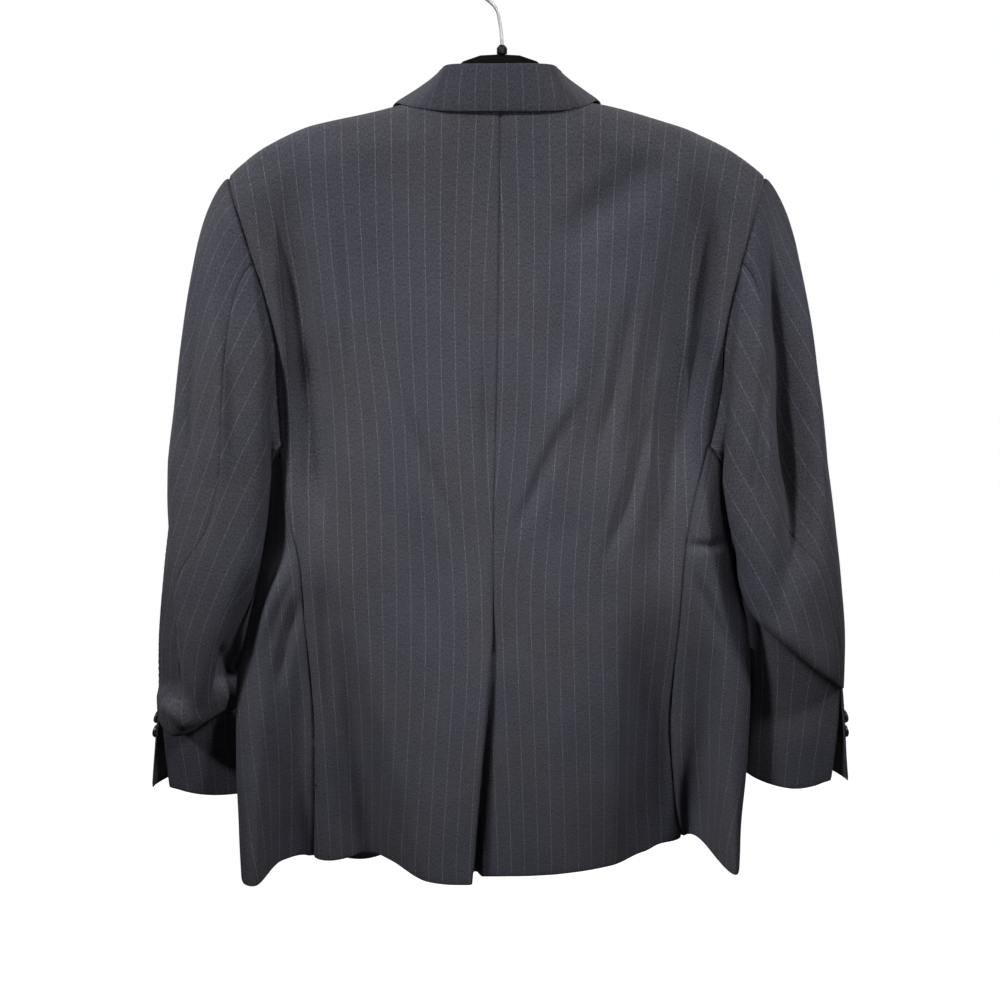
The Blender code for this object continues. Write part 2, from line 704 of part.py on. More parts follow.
def sew_centre_back(left, right):
    """The two back panels share directions down to the top of the vent."""
    rows = [k for k, t in enumerate(body_rows()) if mix(Z_NECK, Z_HEM, t) > VENT_TOP]
    places = [(i, 0) for i in rows]
    join_normals(left, places, right, places)


# ---------------------------------------------------------------- collar and lapels
# Half of the collar from the centre back to its front end: where it is sewn on,
# its fold and the edge of its fall.
COLLAR = Table("station xs ys zs xk yk zk xg yg zg", [
    (0.00, 0.0000, 0.0440, -0.1278, 0.0000, 0.0470, -0.0965, 0.0000, 0.0585, -0.1375),
    (0.25, 0.0440, 0.0405, -0.1272, 0.0430, 0.0410, -0.0965, 0.0510, 0.0540, -0.1365),
    (0.40, 0.0700, 0.0230, -0.1250, 0.0530, 0.0230, -0.0985, 0.0760, 0.0310, -0.1300),
    (0.55, 0.0855, 0.0020, -0.1238, 0.0585, -0.0030, -0.1020, 0.0920, -0.0030, -0.1232),
    (0.75, 0.0845, -0.0290, -0.1270, 0.0650, -0.0370, -0.1180, 0.0990, -0.0370, -0.1335),
    (1.00, 0.0775, -0.0435, -0.1650, 0.0755, -0.0490, -0.1625, 0.1120, -0.0495, -0.1780),
])
COLLAR_COLUMNS = 14
COLLAR_FOLD = 0.0022     # half the thickness of the turned fold


def collar_point(station, part):
    """A point of the collar's section, from the neck seam over to its edge."""
    half = abs(station)
    seam, fold, edge = (
        Vector([COLLAR.at(axis + letter, half) for axis in "xyz"]) for letter in "skg"
    )
    out = Vector((edge.x - seam.x, edge.y - seam.y, 0.0))
    if out.length < 0.004:
        out = Vector((fold.x, max(fold.y, 0.01), 0.0))
    out = out.normalized() * COLLAR_FOLD
    drop = Vector((0, 0, COLLAR_FOLD))
    section = [
        seam,
        (seam + fold - out - drop) / 2,
        fold - out - drop,
        fold,
        fold + out - drop,
        (edge + fold + out - drop) / 2 + out * 0.6,
        edge,
    ]
    point = section[part]
    return Vector((math.copysign(1, station) * point.x, point.y, point.z))


def collar_panel():
    columns = [mix(-1, 1, k / COLLAR_COLUMNS) for k in range(COLLAR_COLUMNS + 1)]
    points = grid(collar_point, columns, range(7))
    return Panel("collar", points, lambda p: Vector((0, 0, -0.16)))


LAPEL = Table("t width", [
    (0.078, 0.066), (0.100, 0.076), (0.200, 0.062), (0.320, 0.043),
    (0.420, 0.020), (0.468, 0.006),
])
LAPEL_ROWS = 8
LAPEL_COLUMNS = 3


def lapel_panel(side, front):
    """The turned-back part of a front, made from the front's points moved out."""
    rows = [mix(LAPEL.keys[0], LAPEL.keys[-1], k / LAPEL_ROWS) for k in range(LAPEL_ROWS + 1)]

    def lapel_point(share, t):
        x_in = abs(front_point(side, 0, t).x)
        x_out = abs(front_point(side, 1, t).x)
        u = share * LAPEL.at("width", t) / (x_out - x_in)
        point = front_point(side, u, t)
        step = 0.01
        across = front_point(side, u + step, t) - point
        down = front_point(side, u, t + step) - point
        out = across.cross(down).normalized()
        if out.y > 0:
            out = -out
        return point + out * LAY_ON

    points = grid(lapel_point, [k / LAPEL_COLUMNS for k in range(LAPEL_COLUMNS + 1)], rows)
    return Panel("lapel_" + NAMES[side], points, body_axis)


# ---------------------------------------------------------------- pocket flaps
FLAP_TOP, FLAP_LOW = 0.655, 0.733
FLAP_FRONT = (0.46, 0.62, 0.78, 0.90)    # places across the front
FLAP_SIDE = (1.00, 0.86, 0.74)           # and on round the side body
FLAP_FLARE = {LEFT: 0.000, RIGHT: 0.004}  # the rear end stands off the side


def flap_panel(side):
    """A hip pocket's flap, lying on the front and round the side."""
    rows = (FLAP_TOP, mix(FLAP_TOP, FLAP_LOW, 0.5), FLAP_LOW)
    points = []
    for t in rows:
        path = [front_point(side, u, t) for u in FLAP_FRONT]
        path += [side_point(side, v, t) for v in FLAP_SIDE]
        line = []
        for k, point in enumerate(path):
            ahead = path[min(k + 1, len(path) - 1)] - path[max(k - 1, 0)]
            out = Vector((ahead.y, -ahead.x, 0)).normalized() * side
            flare = FLAP_FLARE[side] * max(0.0, k / (len(path) - 1) * 3 - 2)
            line.append(point + out * (LAY_ON + flare))
        points.append(line)
    return Panel("pocket_flap_" + NAMES[side], points, body_axis)


# ---------------------------------------------------------------- buttons
FRONT_BUTTON = (0.0100, 0.0034)          # radius and thickness
CUFF_BUTTON = (0.0075, 0.0034)
FRONT_BUTTON_ROWS = (0.530, 0.668)
CUFF_BUTTON_HEIGHTS = (-0.7655, -0.7845)
CUFF_BUTTON_COLUMN = -2                  # grid column of the top sleeve they sit on
FRONT_CLEARANCE, CUFF_CLEARANCE = 0.0003, 0.0006
BUTTON_STEP = 0.02                       # step used to find the cloth's slope there


def button_object(name, size, place, out, clearance, material):
    """A round button with a bevelled rim, its flat back towards the cloth."""
    radius, thickness = size
    mesh = bmesh.new()
    bmesh.ops.create_cone(
        mesh, cap_ends=True, segments=14, radius1=radius, radius2=radius * 0.86, depth=thickness,
    )
    built = finished(mesh, name, material)
    built.rotation_mode = "QUATERNION"
    built.rotation_quaternion = Vector((0, 0, 1)).rotation_difference(out)
    built.location = place + out * (WALL / 2 + clearance + thickness / 2)
    return built


def build_buttons(cloth, material):
    for number, t in enumerate(FRONT_BUTTON_ROWS, 1):
        inner = front_point(LEFT, 0, t)
        outer = front_point(LEFT, 1, t)
        u = -inner.x / (outer.x - inner.x)
        place = front_point(LEFT, u, t)
        across = front_point(LEFT, u + BUTTON_STEP, t) - place
        down = front_point(LEFT, u, t + BUTTON_STEP) - place
        out = down.cross(across).normalized()
        name = "front_button_%d" % number
        button_object(name, FRONT_BUTTON, place, out, FRONT_CLEARANCE, material)
    for side in (LEFT, RIGHT):
        top = cloth["sleeve_top_" + NAMES[side]]
        for number, height in enumerate(CUFF_BUTTON_HEIGHTS, 1):
            place, out = place_at_height(top, CUFF_BUTTON_COLUMN, height)
            name = "cuff_button_%s_%d" % (NAMES[side], number)
            button_object(name, CUFF_BUTTON, place, out, CUFF_CLEARANCE, material)


def place_at_height(panel, column, height):
    """Where a panel's grid column passes a height, and its outward direction."""
    line = [row[column] for row in panel.points]
    k = max(i for i, point in enumerate(line[:-1]) if point.z > height)
    share = (line[k].z - height) / (line[k].z - line[k + 1].z)
    out = panel.normals[k][column].lerp(panel.normals[k + 1][column], share)
    return line[k].lerp(line[k + 1], share), out.normalized()


# ---------------------------------------------------------------- hanger
WIRE = 0.0016            # radius of the hook's wire
HOOK_RADIUS = 0.0200     # inside radius of the hook
HOOK_FOOT = -0.0747
KNOB_TOP, KNOB_LOW = -0.0750, -0.0830
KNOB_RADIUS = 0.0048
KNOB_X = -0.0018
FRAME_HALF_THICK = 0.0028
FRAME_HEIGHT = 0.016
FRAME_CLEARANCE = 0.0026  # frame's top below the middle of the shoulder cloth
FRAME_NECK = [(0.000, -0.0833), (0.018, -0.0842), (0.034, -0.0893), (0.046, -0.0990),
              (0.058, -0.1125), (0.072, -0.1270)]
FRAME_END = 0.84         # share of the half shoulder that the frame reaches
HOOK_BEND = [(0.0009, -0.0520), (0.0022, -0.0450), (0.0080, -0.0388)]


def build_hook(material):
    """Bent wire: a shaft, a swing to the wearer's left and a round hook over it."""
    run = HOOK_RADIUS + WIRE
    points = [(KNOB_X, HOOK_FOOT), (-0.0012, -0.0640)] + HOOK_BEND
    turns = 22
    for k in range(turns + 1):
        angle = math.radians(mix(-42, 205, k / turns))
        points.append((run * math.cos(angle), -HOOK_RADIUS + run * math.sin(angle)))
    curve = bpy.data.curves.new("hanger_hook", "CURVE")
    curve.dimensions = "3D"
    curve.bevel_depth = WIRE
    curve.bevel_resolution = 2
    curve.use_fill_caps = True
    spline = curve.splines.new("POLY")
    spline.points.add(len(points) - 1)
    for knot, (x, z) in zip(spline.points, points):
        knot.co = (x, 0.0, z, 1.0)
    curve.materials.append(material)
    bpy.context.scene.collection.objects.link(bpy.data.objects.new("hanger_hook", curve))


def build_knob(material):
    """The moulded collar in which the hook's wire is fixed."""
    mesh = bmesh.new()
    bmesh.ops.create_cone(
        mesh, cap_ends=True, segments=16, radius1=KNOB_RADIUS, radius2=KNOB_RADIUS * 0.85,
        depth=KNOB_TOP - KNOB_LOW,
    )
    finished(mesh, "hanger_knob", material).location = (KNOB_X, 0, (KNOB_TOP + KNOB_LOW) / 2)


def frame_top():
    """Top line of the hanger's half frame, just under the shoulder cloth."""
    line = list(FRAME_NECK)
    tip = BACK_EDGE[RIGHT].at("x", Z_TIP)
    for share in shoulder_columns():
        share = min(share, FRAME_END)
        line.append((share * tip, min(top_edge(LEFT, share), top_edge(RIGHT, share)) - FRAME_CLEARANCE))
        if share == FRAME_END:
            break
    return line


def build_frame(material):
    """The flocked frame: one flat bar that follows both shoulders."""
    half = frame_top()
    line = [(-x, z) for x, z in reversed(half[1:])] + half
    mesh = bmesh.new()
    corners = []
    for x, z in line:
        taper = mix(1.0, 0.55, clamp(abs(x) / half[-1][0]) ** 3)
        low = z - FRAME_HEIGHT * taper
        corners.append([
            mesh.verts.new((x, y, height))
            for y, height in (
                (-FRAME_HALF_THICK, z), (FRAME_HALF_THICK, z),
                (FRAME_HALF_THICK, low), (-FRAME_HALF_THICK, low),
            )
        ])
    for near, far in zip(corners, corners[1:]):
        for k in range(4):
            mesh.faces.new((near[k], near[(k + 1) % 4], far[(k + 1) % 4], far[k]))
    mesh.faces.new(corners[0])
    mesh.faces.new(reversed(corners[-1]))
    bmesh.ops.recalc_face_normals(mesh, faces=mesh.faces)
    finished(mesh, "hanger_frame", material)


# ---------------------------------------------------------------- the whole part
CHARCOAL = (0.058, 0.057, 0.071)


def build_cloth():
    cloth = {}
    for side in (LEFT, RIGHT):
        back, side_body, front = back_panel(side), side_panel(side), front_panel(side)
        under, top, hindarm, forearm = sleeve_panels(side)
        sew_body(back, side_body, front)
        sew_sleeve((back, side_body, front), under, top, hindarm, forearm)
        lapel, flap = lapel_panel(side, front), flap_panel(side)
        for panel in (back, side_body, front, under, top, lapel, flap):
            cloth[panel.name] = panel
    sew_centre_back(cloth["back_left"], cloth["back_right"])
    collar = collar_panel()
    cloth[collar.name] = collar
    for name, panel in cloth.items():
        wall_object(panel, new_material(name + "_wool", CHARCOAL, 0.9))
    return cloth


def main():
    for old in list(bpy.data.objects):
        bpy.data.objects.remove(old, do_unlink=True)
    cloth = build_cloth()
    build_buttons(cloth, new_material("dark_horn", (0.020, 0.018, 0.017), 0.35))
    build_hook(new_material("bright_wire", (0.75, 0.75, 0.76), 0.25, 1.0))
    build_knob(new_material("black_plastic", (0.010, 0.010, 0.010), 0.5))
    build_frame(new_material("black_flock", (0.008, 0.008, 0.008), 1.0))


main()
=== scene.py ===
import math

import bmesh
import bpy
from mathutils import Matrix, Vector, noise


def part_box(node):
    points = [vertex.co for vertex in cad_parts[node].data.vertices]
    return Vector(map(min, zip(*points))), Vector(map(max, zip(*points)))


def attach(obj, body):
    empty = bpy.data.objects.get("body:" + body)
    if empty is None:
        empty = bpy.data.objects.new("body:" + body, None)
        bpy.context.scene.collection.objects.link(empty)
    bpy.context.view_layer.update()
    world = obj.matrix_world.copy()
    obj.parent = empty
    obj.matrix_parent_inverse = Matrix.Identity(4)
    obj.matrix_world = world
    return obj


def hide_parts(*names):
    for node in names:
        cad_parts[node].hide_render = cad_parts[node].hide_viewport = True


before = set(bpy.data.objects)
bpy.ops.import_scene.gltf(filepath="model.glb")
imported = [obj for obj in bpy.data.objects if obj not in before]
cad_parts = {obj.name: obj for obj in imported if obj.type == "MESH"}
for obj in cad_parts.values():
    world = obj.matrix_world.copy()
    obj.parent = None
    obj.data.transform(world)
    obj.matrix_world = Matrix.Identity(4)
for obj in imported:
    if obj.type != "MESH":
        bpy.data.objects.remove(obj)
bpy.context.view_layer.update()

# Two-button pinstripe blazer on a slim flocked hanger.  Metres; +Z is up, the back
# faces +Y and the wearer's left is +X.  The cloth's middle surfaces come from the
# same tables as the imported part, made much finer, with the creases laid on them.

bpy.ops.object.select_all(action="DESELECT")


def add_object(name, data):
    made = bpy.data.objects.new(name, data)
    bpy.context.scene.collection.objects.link(made)
    return made


def new_material(name):
    material = bpy.data.materials.new(name)
    material.use_nodes = True
    return material, material.node_tree, material.node_tree.nodes["Principled BSDF"]


# ---------------------------------------------------------------- camera, light, stage
CAMERA_PLACE, CAMERA_TILT, LENS, FILM = (0.0, 1.10, -0.196), 74, 40, 36
WORLD_STRENGTH = 0.004
FLOOR_Z, FLOOR_SIZE, FLOOR_TONE = -1.32, 14, 0.30
# Name, place, where it points, width, power, beam in degrees.
LIGHTS = [
    ("key_left", (2.1, 1.6, 1.8), (0.0, 0.0, -0.58), 0.5, 2.7, 21),
    ("key_right", (-2.1, 1.6, 1.8), (0.0, 0.0, -0.56), 0.5, 1.7, 21),
    ("fill", (-0.6, 3.0, 0.3), (-0.05, 0.0, -0.36), 0.5, 0.45, 17),
    ("front_left", (1.9, -2.2, 1.2), (0.0, 0.0, -0.50), 0.6, 1.9, 20),
    ("front_right", (-1.9, -2.2, 1.2), (0.0, 0.0, -0.50), 0.6, 1.9, 20),
]


def make_camera():
    data = bpy.data.cameras.new("camera")
    data.lens, data.sensor_width, data.clip_end = LENS, FILM, 50
    camera = add_object("camera", data)
    camera.location = CAMERA_PLACE
    camera.rotation_euler = (math.radians(CAMERA_TILT), 0.0, math.pi)
    bpy.context.scene.camera = camera


def soft_light(name, place, target, width, power, beam):
    data = bpy.data.lights.new(name, "AREA")
    data.shape, data.size, data.energy = "DISK", width, power
    data.spread = math.radians(beam)
    lamp = add_object(name, data)
    lamp.location = place
    lamp.rotation_mode = "QUATERNION"
    lamp.rotation_quaternion = (Vector(target) - Vector(place)).to_track_quat("-Z", "Y")
    lamp.visible_camera = False


def make_world():
    """White to the camera, nearly dark as a light."""
    world = bpy.data.worlds.new("white_room")
    bpy.context.scene.world = world
    world.use_nodes = True
    tree = world.node_tree
    background = tree.nodes["Background"]
    background.inputs["Color"].default_value = (1, 1, 1, 1)
    path = tree.nodes.new("ShaderNodeLightPath")
    level = tree.nodes.new("ShaderNodeMapRange")
    level.inputs["To Min"].default_value = WORLD_STRENGTH
    level.inputs["To Max"].default_value = 1.0
    tree.links.new(path.outputs["Is Camera Ray"], level.inputs["Value"])
    tree.links.new(level.outputs["Result"], background.inputs["Strength"])


def make_stage():
    """A floor that is white to the camera and throws little light back."""
    bpy.ops.mesh.primitive_plane_add(size=FLOOR_SIZE, location=(0, 0, FLOOR_Z))
    floor = bpy.context.object
    floor.name = "floor"
    bpy.ops.object.transform_apply(location=True, rotation=True, scale=True)
    material, tree, shader = new_material("pale_floor")
    shader.inputs["Base Color"].default_value = (FLOOR_TONE, FLOOR_TONE, FLOOR_TONE, 1)
    shader.inputs["Roughness"].default_value = 0.9
    shader.inputs["Emission Color"].default_value = (1, 1, 1, 1)
    path = tree.nodes.new("ShaderNodeLightPath")
    tree.links.new(path.outputs["Is Camera Ray"], shader.inputs["Emission Strength"])
    floor.data.materials.append(material)


make_camera()
make_world()
make_stage()
for light in LIGHTS:
    soft_light(*light)
bpy.context.scene.view_settings.view_transform = "Standard"


# ---------------------------------------------------------------- sizes
WALL = 0.0014            # thickness of a cloth wall
RIM_SHARE = 0.7          # an edge is this much of the wall's thickness
EDGE_REACH = 0.00006     # each sewn edge reaches this far into its seam
LAY_ON = 0.0028          # middle surface to middle surface, piece laid on piece

Z_TIP = -0.192           # shoulder tips
Z_NECK = -0.129          # back neck seam
Z_HEM = -0.925           # back and side hem
LENGTH = Z_TIP - Z_HEM
T_CREST = 0.046          # share of the length in which the shoulder rounds over
T_UNDERARM = 0.352       # share of the length at which the armhole ends
T_HINDARM = T_CREST + (T_UNDERARM - T_CREST) / 5
T_FOREARM = T_CREST + (T_UNDERARM - T_CREST) * 3 / 5
Z_UNDERARM = Z_TIP + (Z_HEM - Z_TIP) * T_UNDERARM
NECK_SHARE = 0.342       # share of the half shoulder width taken by the neck
UNDERARM_DIP = 0.020     # how far the armhole dips between the two side seams

CREST_STEPS = 12
ARMHOLE_STEPS = 50
LENGTH_STEPS = 120
BACK_STEPS = 104
FRONT_STEPS = 76
SIDE_STEPS = 42
CAP_STEPS = 44
RING_STEPS = 22      # rows between two sleeve rings
NEAR_EDGE = (0.0006, 0.0013, 0.0022, 0.0034, 0.0050)   # extra rows and columns
DOUBLED = 2e-5           # stations closer than this are one
BACK_WIDTH, FRONT_WIDTH, LAPEL_WIDTH = 0.21, 0.22, 0.05      # for spacing the columns

LEFT, RIGHT = 1, -1
NAMES = {LEFT: "left", RIGHT: "right"}


# ---------------------------------------------------------------- reading the tables
def smooth_at(keys, values, key):
    """Cubic curve through the given values, level past its ends."""
    last = len(keys) - 1
    key = min(max(key, keys[0]), keys[last])
    i = 0
    while i < last - 1 and key > keys[i + 1]:
        i += 1

    def slope(k):
        low, high = max(k - 1, 0), min(k + 1, last)
        return (values[high] - values[low]) / (keys[high] - keys[low])

    span = keys[i + 1] - keys[i]
    s = (key - keys[i]) / span
    start, end = slope(i) * span, slope(i + 1) * span
    return (
        values[i] * (1 + 2 * s) * (1 - s) ** 2
        + start * s * (1 - s) ** 2
        + values[i + 1] * s * s * (3 - 2 * s)
        + end * s * s * (s - 1)
    )


def thousandths(row):
    return [value / 1000 for value in row]


class Table:
    """Rows of named columns, read smoothly between rows by the first column.

    All tables are in thousandths, so in millimetres, but for the plain columns.
    """

    PLAIN = ("row", "seam")

    def __init__(self, columns, rows):
        names = columns.split()
        self.columns = {
            name: [row[k] / (1 if name in self.PLAIN else 1000) for row in sorted(rows)]
            for k, name in enumerate(names)
        }
        self.keys, self.names = self.columns[names[0]], names[1:]

    def at(self, name, key):
        return smooth_at(self.keys, self.columns[name], key)


def mix(a, b, share):
    return a + (b - a) * share


def clamp(value):
    return min(max(value, 0.0), 1.0)


def soft_step(value):
    value = clamp(value)
    return value * value * (3 - 2 * value)


def hump(distance):
    """A soft bump: one at zero distance, nothing from one on."""
    return math.cos(min(abs(distance), 1.0) * math.pi / 2) ** 2


# Top edge of the half body, from the centre back neck to the shoulder tip.
TOP_EDGE = Table("share z_left z_right y", [
    (0, -129, -129, 44), (170, -128.5, -128.5, 41), (270, -127.5, -127, 24),
    (342, -127.5, -126.6, 2), (450, -133.5, -131.8, 0), (630, -143, -144, 0),
    (720, -149.4, -151.3, 0), (860, -165.5, -167.2, 0), (960, -183, -184.2, 0),
    (1000, -192, -192, 0),
])

# Centre back seam: it runs a little to the wearer's left on its way down.
CENTRE_BACK = Table("z x y", [
    (-129, 0, 48), (-180, 0, 53), (-260, 0.9, 57), (-360, 2.4, 58), (-460, 4.9, 54),
    (-560, 6.8, 49), (-650, 7.4, 47), (-780, 7.8, 47), (-925, 8, 48),
])

# Outer edge of each back panel: armhole to the underarm, then the side seam.
BACK_EDGE = {
    LEFT: Table("z x y", [
        (-195, 257.5, 12), (-210, 252, 20), (-235, 242.5, 28), (-270, 232, 33),
        (-303, 223.5, 35), (-353, 215, 34), (-400, 217.5, 24), (-452, 218, 24),
        (-517, 213.4, 32), (-569, 204, 33), (-630, 203, 30), (-743, 201, 23),
        (-833, 204.6, 17), (-925, 210.7, 13),
    ]),
    RIGHT: Table("z x y", [
        (-195, 251.2, 12), (-210, 246, 20), (-235, 237, 28), (-270, 227.5, 33),
        (-303, 221.5, 35), (-353, 215, 34), (-400, 215.5, 25), (-452, 208, 26),
        (-517, 194, 36), (-569, 188, 35), (-630, 186.5, 29), (-704, 186.9, 18),
        (-782, 189.5, 2), (-894, 203, -20), (-925, 211.6, -28),
    ]),
}
BACK_TURN = 2.6          # how late a back turns in towards its outer edge

# Side body: valley, near side, outer edge and front seam, below the armhole.
SIDE = {
    LEFT: Table("z xv yv xn yn xe ye xf yf", [
        (-452, 223, 6, 230, -6, 236, -16, 226, -34),
        (-520, 225, 16, 234, 2, 241, -12, 230, -37),
        (-580, 222, 32, 240, 23, 252, 0, 236, -38),
        (-640, 224, 30, 249, 27, 267, 6, 243, -36),
        (-700, 228, 26, 257, 31, 280, 12, 247, -32),
        (-800, 235, 21, 261, 44, 284, 24, 251, -25),
        (-870, 240, 19, 262, 55, 283, 36, 251, -19),
        (-925, 244, 19, 262, 64, 280, 51, 250, -14),
    ]),
    RIGHT: Table("z xv yv xn yn xe ye xf yf", [
        (-452, 218, 21, 226, 14, 232, 0, 222, -34),
        (-520, 209, 31, 226, 21, 238, 0, 226, -38),
        (-580, 206, 32, 231, 24, 247, 0, 232, -40),
        (-640, 205, 25, 240, 25, 262, 6, 238, -41),
        (-700, 208, 15, 245, 24, 267, 10, 242, -42),
        (-800, 215, 0, 249, 26, 269, 12, 245, -44),
        (-870, 220, -15, 251, 34, 265.5, 16, 245, -46),
        (-925, 225, -24, 253.5, 42, 262.5, 28, 244, -47),
    ]),
}
SIDE_STATIONS = (0.0, 0.22, 0.46, 0.68, 1.0)

# Front armhole edge: how far it is scooped in behind a straight line.
FRONT_ARMHOLE = Table("z scoop y", [
    (-195, 0, -10), (-212, 4.5, -18), (-240, 12, -27), (-280, 22, -35), (-330, 27, -40),
    (-380, 24, -41), (-420, 13, -39), (-452, 0, -34),
])

# Inner edge of each front: neck point, roll line, button stand, rounded corner.
FRONT_EDGE = Table("t x z y", [
    (0, 88, -127.5, -30), (50, 84, -156, -38), (140, 66, -230, -56), (300, 38, -360, -72),
    (460, 6, -490, -78), (540, -19, -555, -77), (700, -19.5, -690, -74),
    (820, -12, -793, -71), (900, 6, -862, -69), (960, 34, -915, -67), (1000, 80, -944, -64),
])
FRONT_SETTLE = 0.10      # share of the length over which a front's top settles

# Depth of each front half-way between its two edges.
FRONT_MIDDLE = {
    LEFT: Table("t y", [
        (0, -33), (50, -43), (140, -63), (350, -79), (600, -72), (800, -56), (1000, -43),
    ]),
    RIGHT: Table("t y", [
        (0, -33), (50, -43), (140, -63), (350, -79), (600, -79), (800, -81), (1000, -84),
    ]),
}
FLAT_EDGE = 0.17         # share of a front that lies flat at its edge
FRONT_DROP = {LEFT: 0.030, RIGHT: 0.016}   # the front hem hangs this much lower
DROP_MIDDLE, DROP_WIDTH, DROP_START = 0.45, 0.55, 0.6
LAP_LIFT = 0.0050        # the left front lies outside the right
LAP_WIDTH, LAP_START, LAP_GROWTH = 0.60, 0.30, 0.15

# Large soft folds of the back: a valley's top (x, z), its low end, then its half
# width at both and its depth at both.
BACK_FOLDS = {
    LEFT: [
        (172, -640, 140, -925, 36, 62, 4, 29),
        (196, -240, 190, -470, 16, 20, 4, 4),
        (60, -560, 68, -925, 40, 45, 0, -3),
    ],
    RIGHT: [
        (190, -250, 160, -520, 16, 22, 4, 4),
        (100, -180, 70, -360, 40, 45, 3, 3),
    ],
}
BACK_FOLDS = {side: [thousandths(row) for row in rows] for side, rows in BACK_FOLDS.items()}
FOLD_FADE = 0.25         # share of a fold's length over which its ends fade

# Vent: the wearer's left panel laps over an extension of the right panel.
VENT_TOP = -0.645
VENT_SPREAD = 0.022      # how far the lapping edge has drifted at the hem
VENT_LIFT = Table("z lift", [
    (-570, 0), (-615, 2.3), (-700, 6.5), (-780, 10), (-925, 15),
])
VENT_LIFT_REACH = 0.110  # width over which the lifted panel settles back
VENT_EXTENSION = 0.035   # width of the extension beyond the lapping edge
VENT_START = 0.12        # share of the vent in which the extension starts


# ---------------------------------------------------------------- body surfaces
def top_edge(side, share):
    return TOP_EDGE.at("z_" + NAMES[side], share)


def steps(start, end, count):
    return [mix(start, end, k / count) for k in range(count)]


def tidy_stations(values):
    """Sorted stations with near-doubles left out."""
    kept = []
    for value in sorted(values):
        if not kept or value - kept[-1] > DOUBLED:
            kept.append(value)
    return kept


def body_rows():
    """Shares of the length at which every body panel has a row."""
    quarter = math.pi / 2 / CREST_STEPS
    rows = [T_CREST * (1 - math.cos(k * quarter)) for k in range(CREST_STEPS)]
    rows += steps(T_CREST, T_UNDERARM, ARMHOLE_STEPS)
    rows += steps(T_UNDERARM, 1.0, LENGTH_STEPS) + [1.0]
    near = [gap / LENGTH for gap in NEAR_EDGE]
    for seam in (T_HINDARM, T_FOREARM):
        rows += [seam] + [seam + gap for gap in near] + [seam - gap for gap in near]
    rows += [T_UNDERARM + gap for gap in near] + [1.0 - gap for gap in near]
    return tidy_stations(rows)


ROWS = body_rows()


def row_index(t):
    return min(range(len(ROWS)), key=lambda k: abs(ROWS[k] - t))


ARMHOLE_ROWS = ROWS[:row_index(T_UNDERARM) + 1]


def columns(count, width):
    """Shares across a panel, with extra ones close to both edges."""
    near = [gap / width for gap in NEAR_EDGE]
    return tidy_stations(steps(0.0, 1.0, count) + [1.0] + near + [1 - gap for gap in near])


def crest_share(t):
    """How far the cloth has rounded over the shoulder, from none to all."""
    left_over = 1 - min(t / T_CREST, 1.0)
    return math.sqrt(1 - left_over * left_over)


def fold_depth(folds, x, z):
    """Sum of the valleys that reach the point (x, z) of a back panel."""
    total = 0.0
    for x_top, z_top, x_low, z_low, wide_top, wide_low, deep_top, deep_low in folds:
        share = (z_top - z) / (z_top - z_low)
        beyond = max(-share, share - 1, 0.0)
        share = clamp(share)
        away = (x - mix(x_top, x_low, share)) / mix(wide_top, wide_low, share)
        total += mix(deep_top, deep_low, share) * hump(away) * hump(beyond / FOLD_FADE)
    return total


def back_inner_x(side, z):
    """Inner edge of a back panel, measured outwards on its own side."""
    seam = side * CENTRE_BACK.at("x", z)
    share = clamp((VENT_TOP - z) / (VENT_TOP - Z_HEM))
    if side == LEFT:
        return seam + VENT_SPREAD * share
    grown = clamp(share / VENT_START - 0.5)
    return seam - (VENT_SPREAD * share + VENT_EXTENSION) * grown


def back_row(side, stations, t):
    """A row of a back panel: stations run from its inner edge to its outer edge."""
    z_centre = mix(Z_NECK, Z_HEM, t)
    z_edge = mix(Z_TIP, Z_HEM, t)
    inner = back_inner_x(side, z_centre)
    outer = BACK_EDGE[side].at("x", z_edge)
    seam = side * CENTRE_BACK.at("x", z_centre)
    y_centre, y_edge = CENTRE_BACK.at("y", z_centre), BACK_EDGE[side].at("y", z_edge)
    lift = VENT_LIFT.at("lift", z_centre) if side == LEFT else 0.0
    crest = crest_share(t)
    row = []
    for u in stations:
        x = mix(inner, outer, u)
        share = clamp((x - seam) / (outer - seam))
        z = mix(top_edge(side, share), Z_HEM, t)
        y = mix(y_centre, y_edge, share ** BACK_TURN) - fold_depth(BACK_FOLDS[side], x, z)
        y += lift * hump((x - inner) / VENT_LIFT_REACH)
        row.append(Vector((side * x, mix(TOP_EDGE.at("y", share), y, crest), z)))
    return row


def side_row(side, stations, t):
    """A row of a side body: stations run from its back seam to its front seam."""
    z = mix(Z_TIP, Z_HEM, t)
    xs, ys = (
        [BACK_EDGE[side].at(axis, z)] + [SIDE[side].at(axis + place, z) for place in "vnef"]
        for axis in "xy"
    )
    below = (t - T_UNDERARM) / (1 - T_UNDERARM)
    row = []
    for v in stations:
        dip = UNDERARM_DIP * math.sin(math.pi * v) * (1 - below)
        x, y = (smooth_at(SIDE_STATIONS, values, v) for values in (xs, ys))
        row.append(Vector((side * x, y, z - dip)))
    return row


def front_outer(side, t):
    """Outer edge of a front: the armhole, then the side seam."""
    z = mix(Z_TIP, Z_HEM, t)
    if t >= T_UNDERARM:
        return SIDE[side].at("xf", z), SIDE[side].at("yf", z), z
    tip = BACK_EDGE[side].at("x", Z_TIP)
    underarm = SIDE[side].at("xf", Z_UNDERARM)
    straight = mix(tip, underarm, (Z_TIP - z) / (Z_TIP - Z_UNDERARM))
    return straight - FRONT_ARMHOLE.at("scoop", z), FRONT_ARMHOLE.at("y", z), z


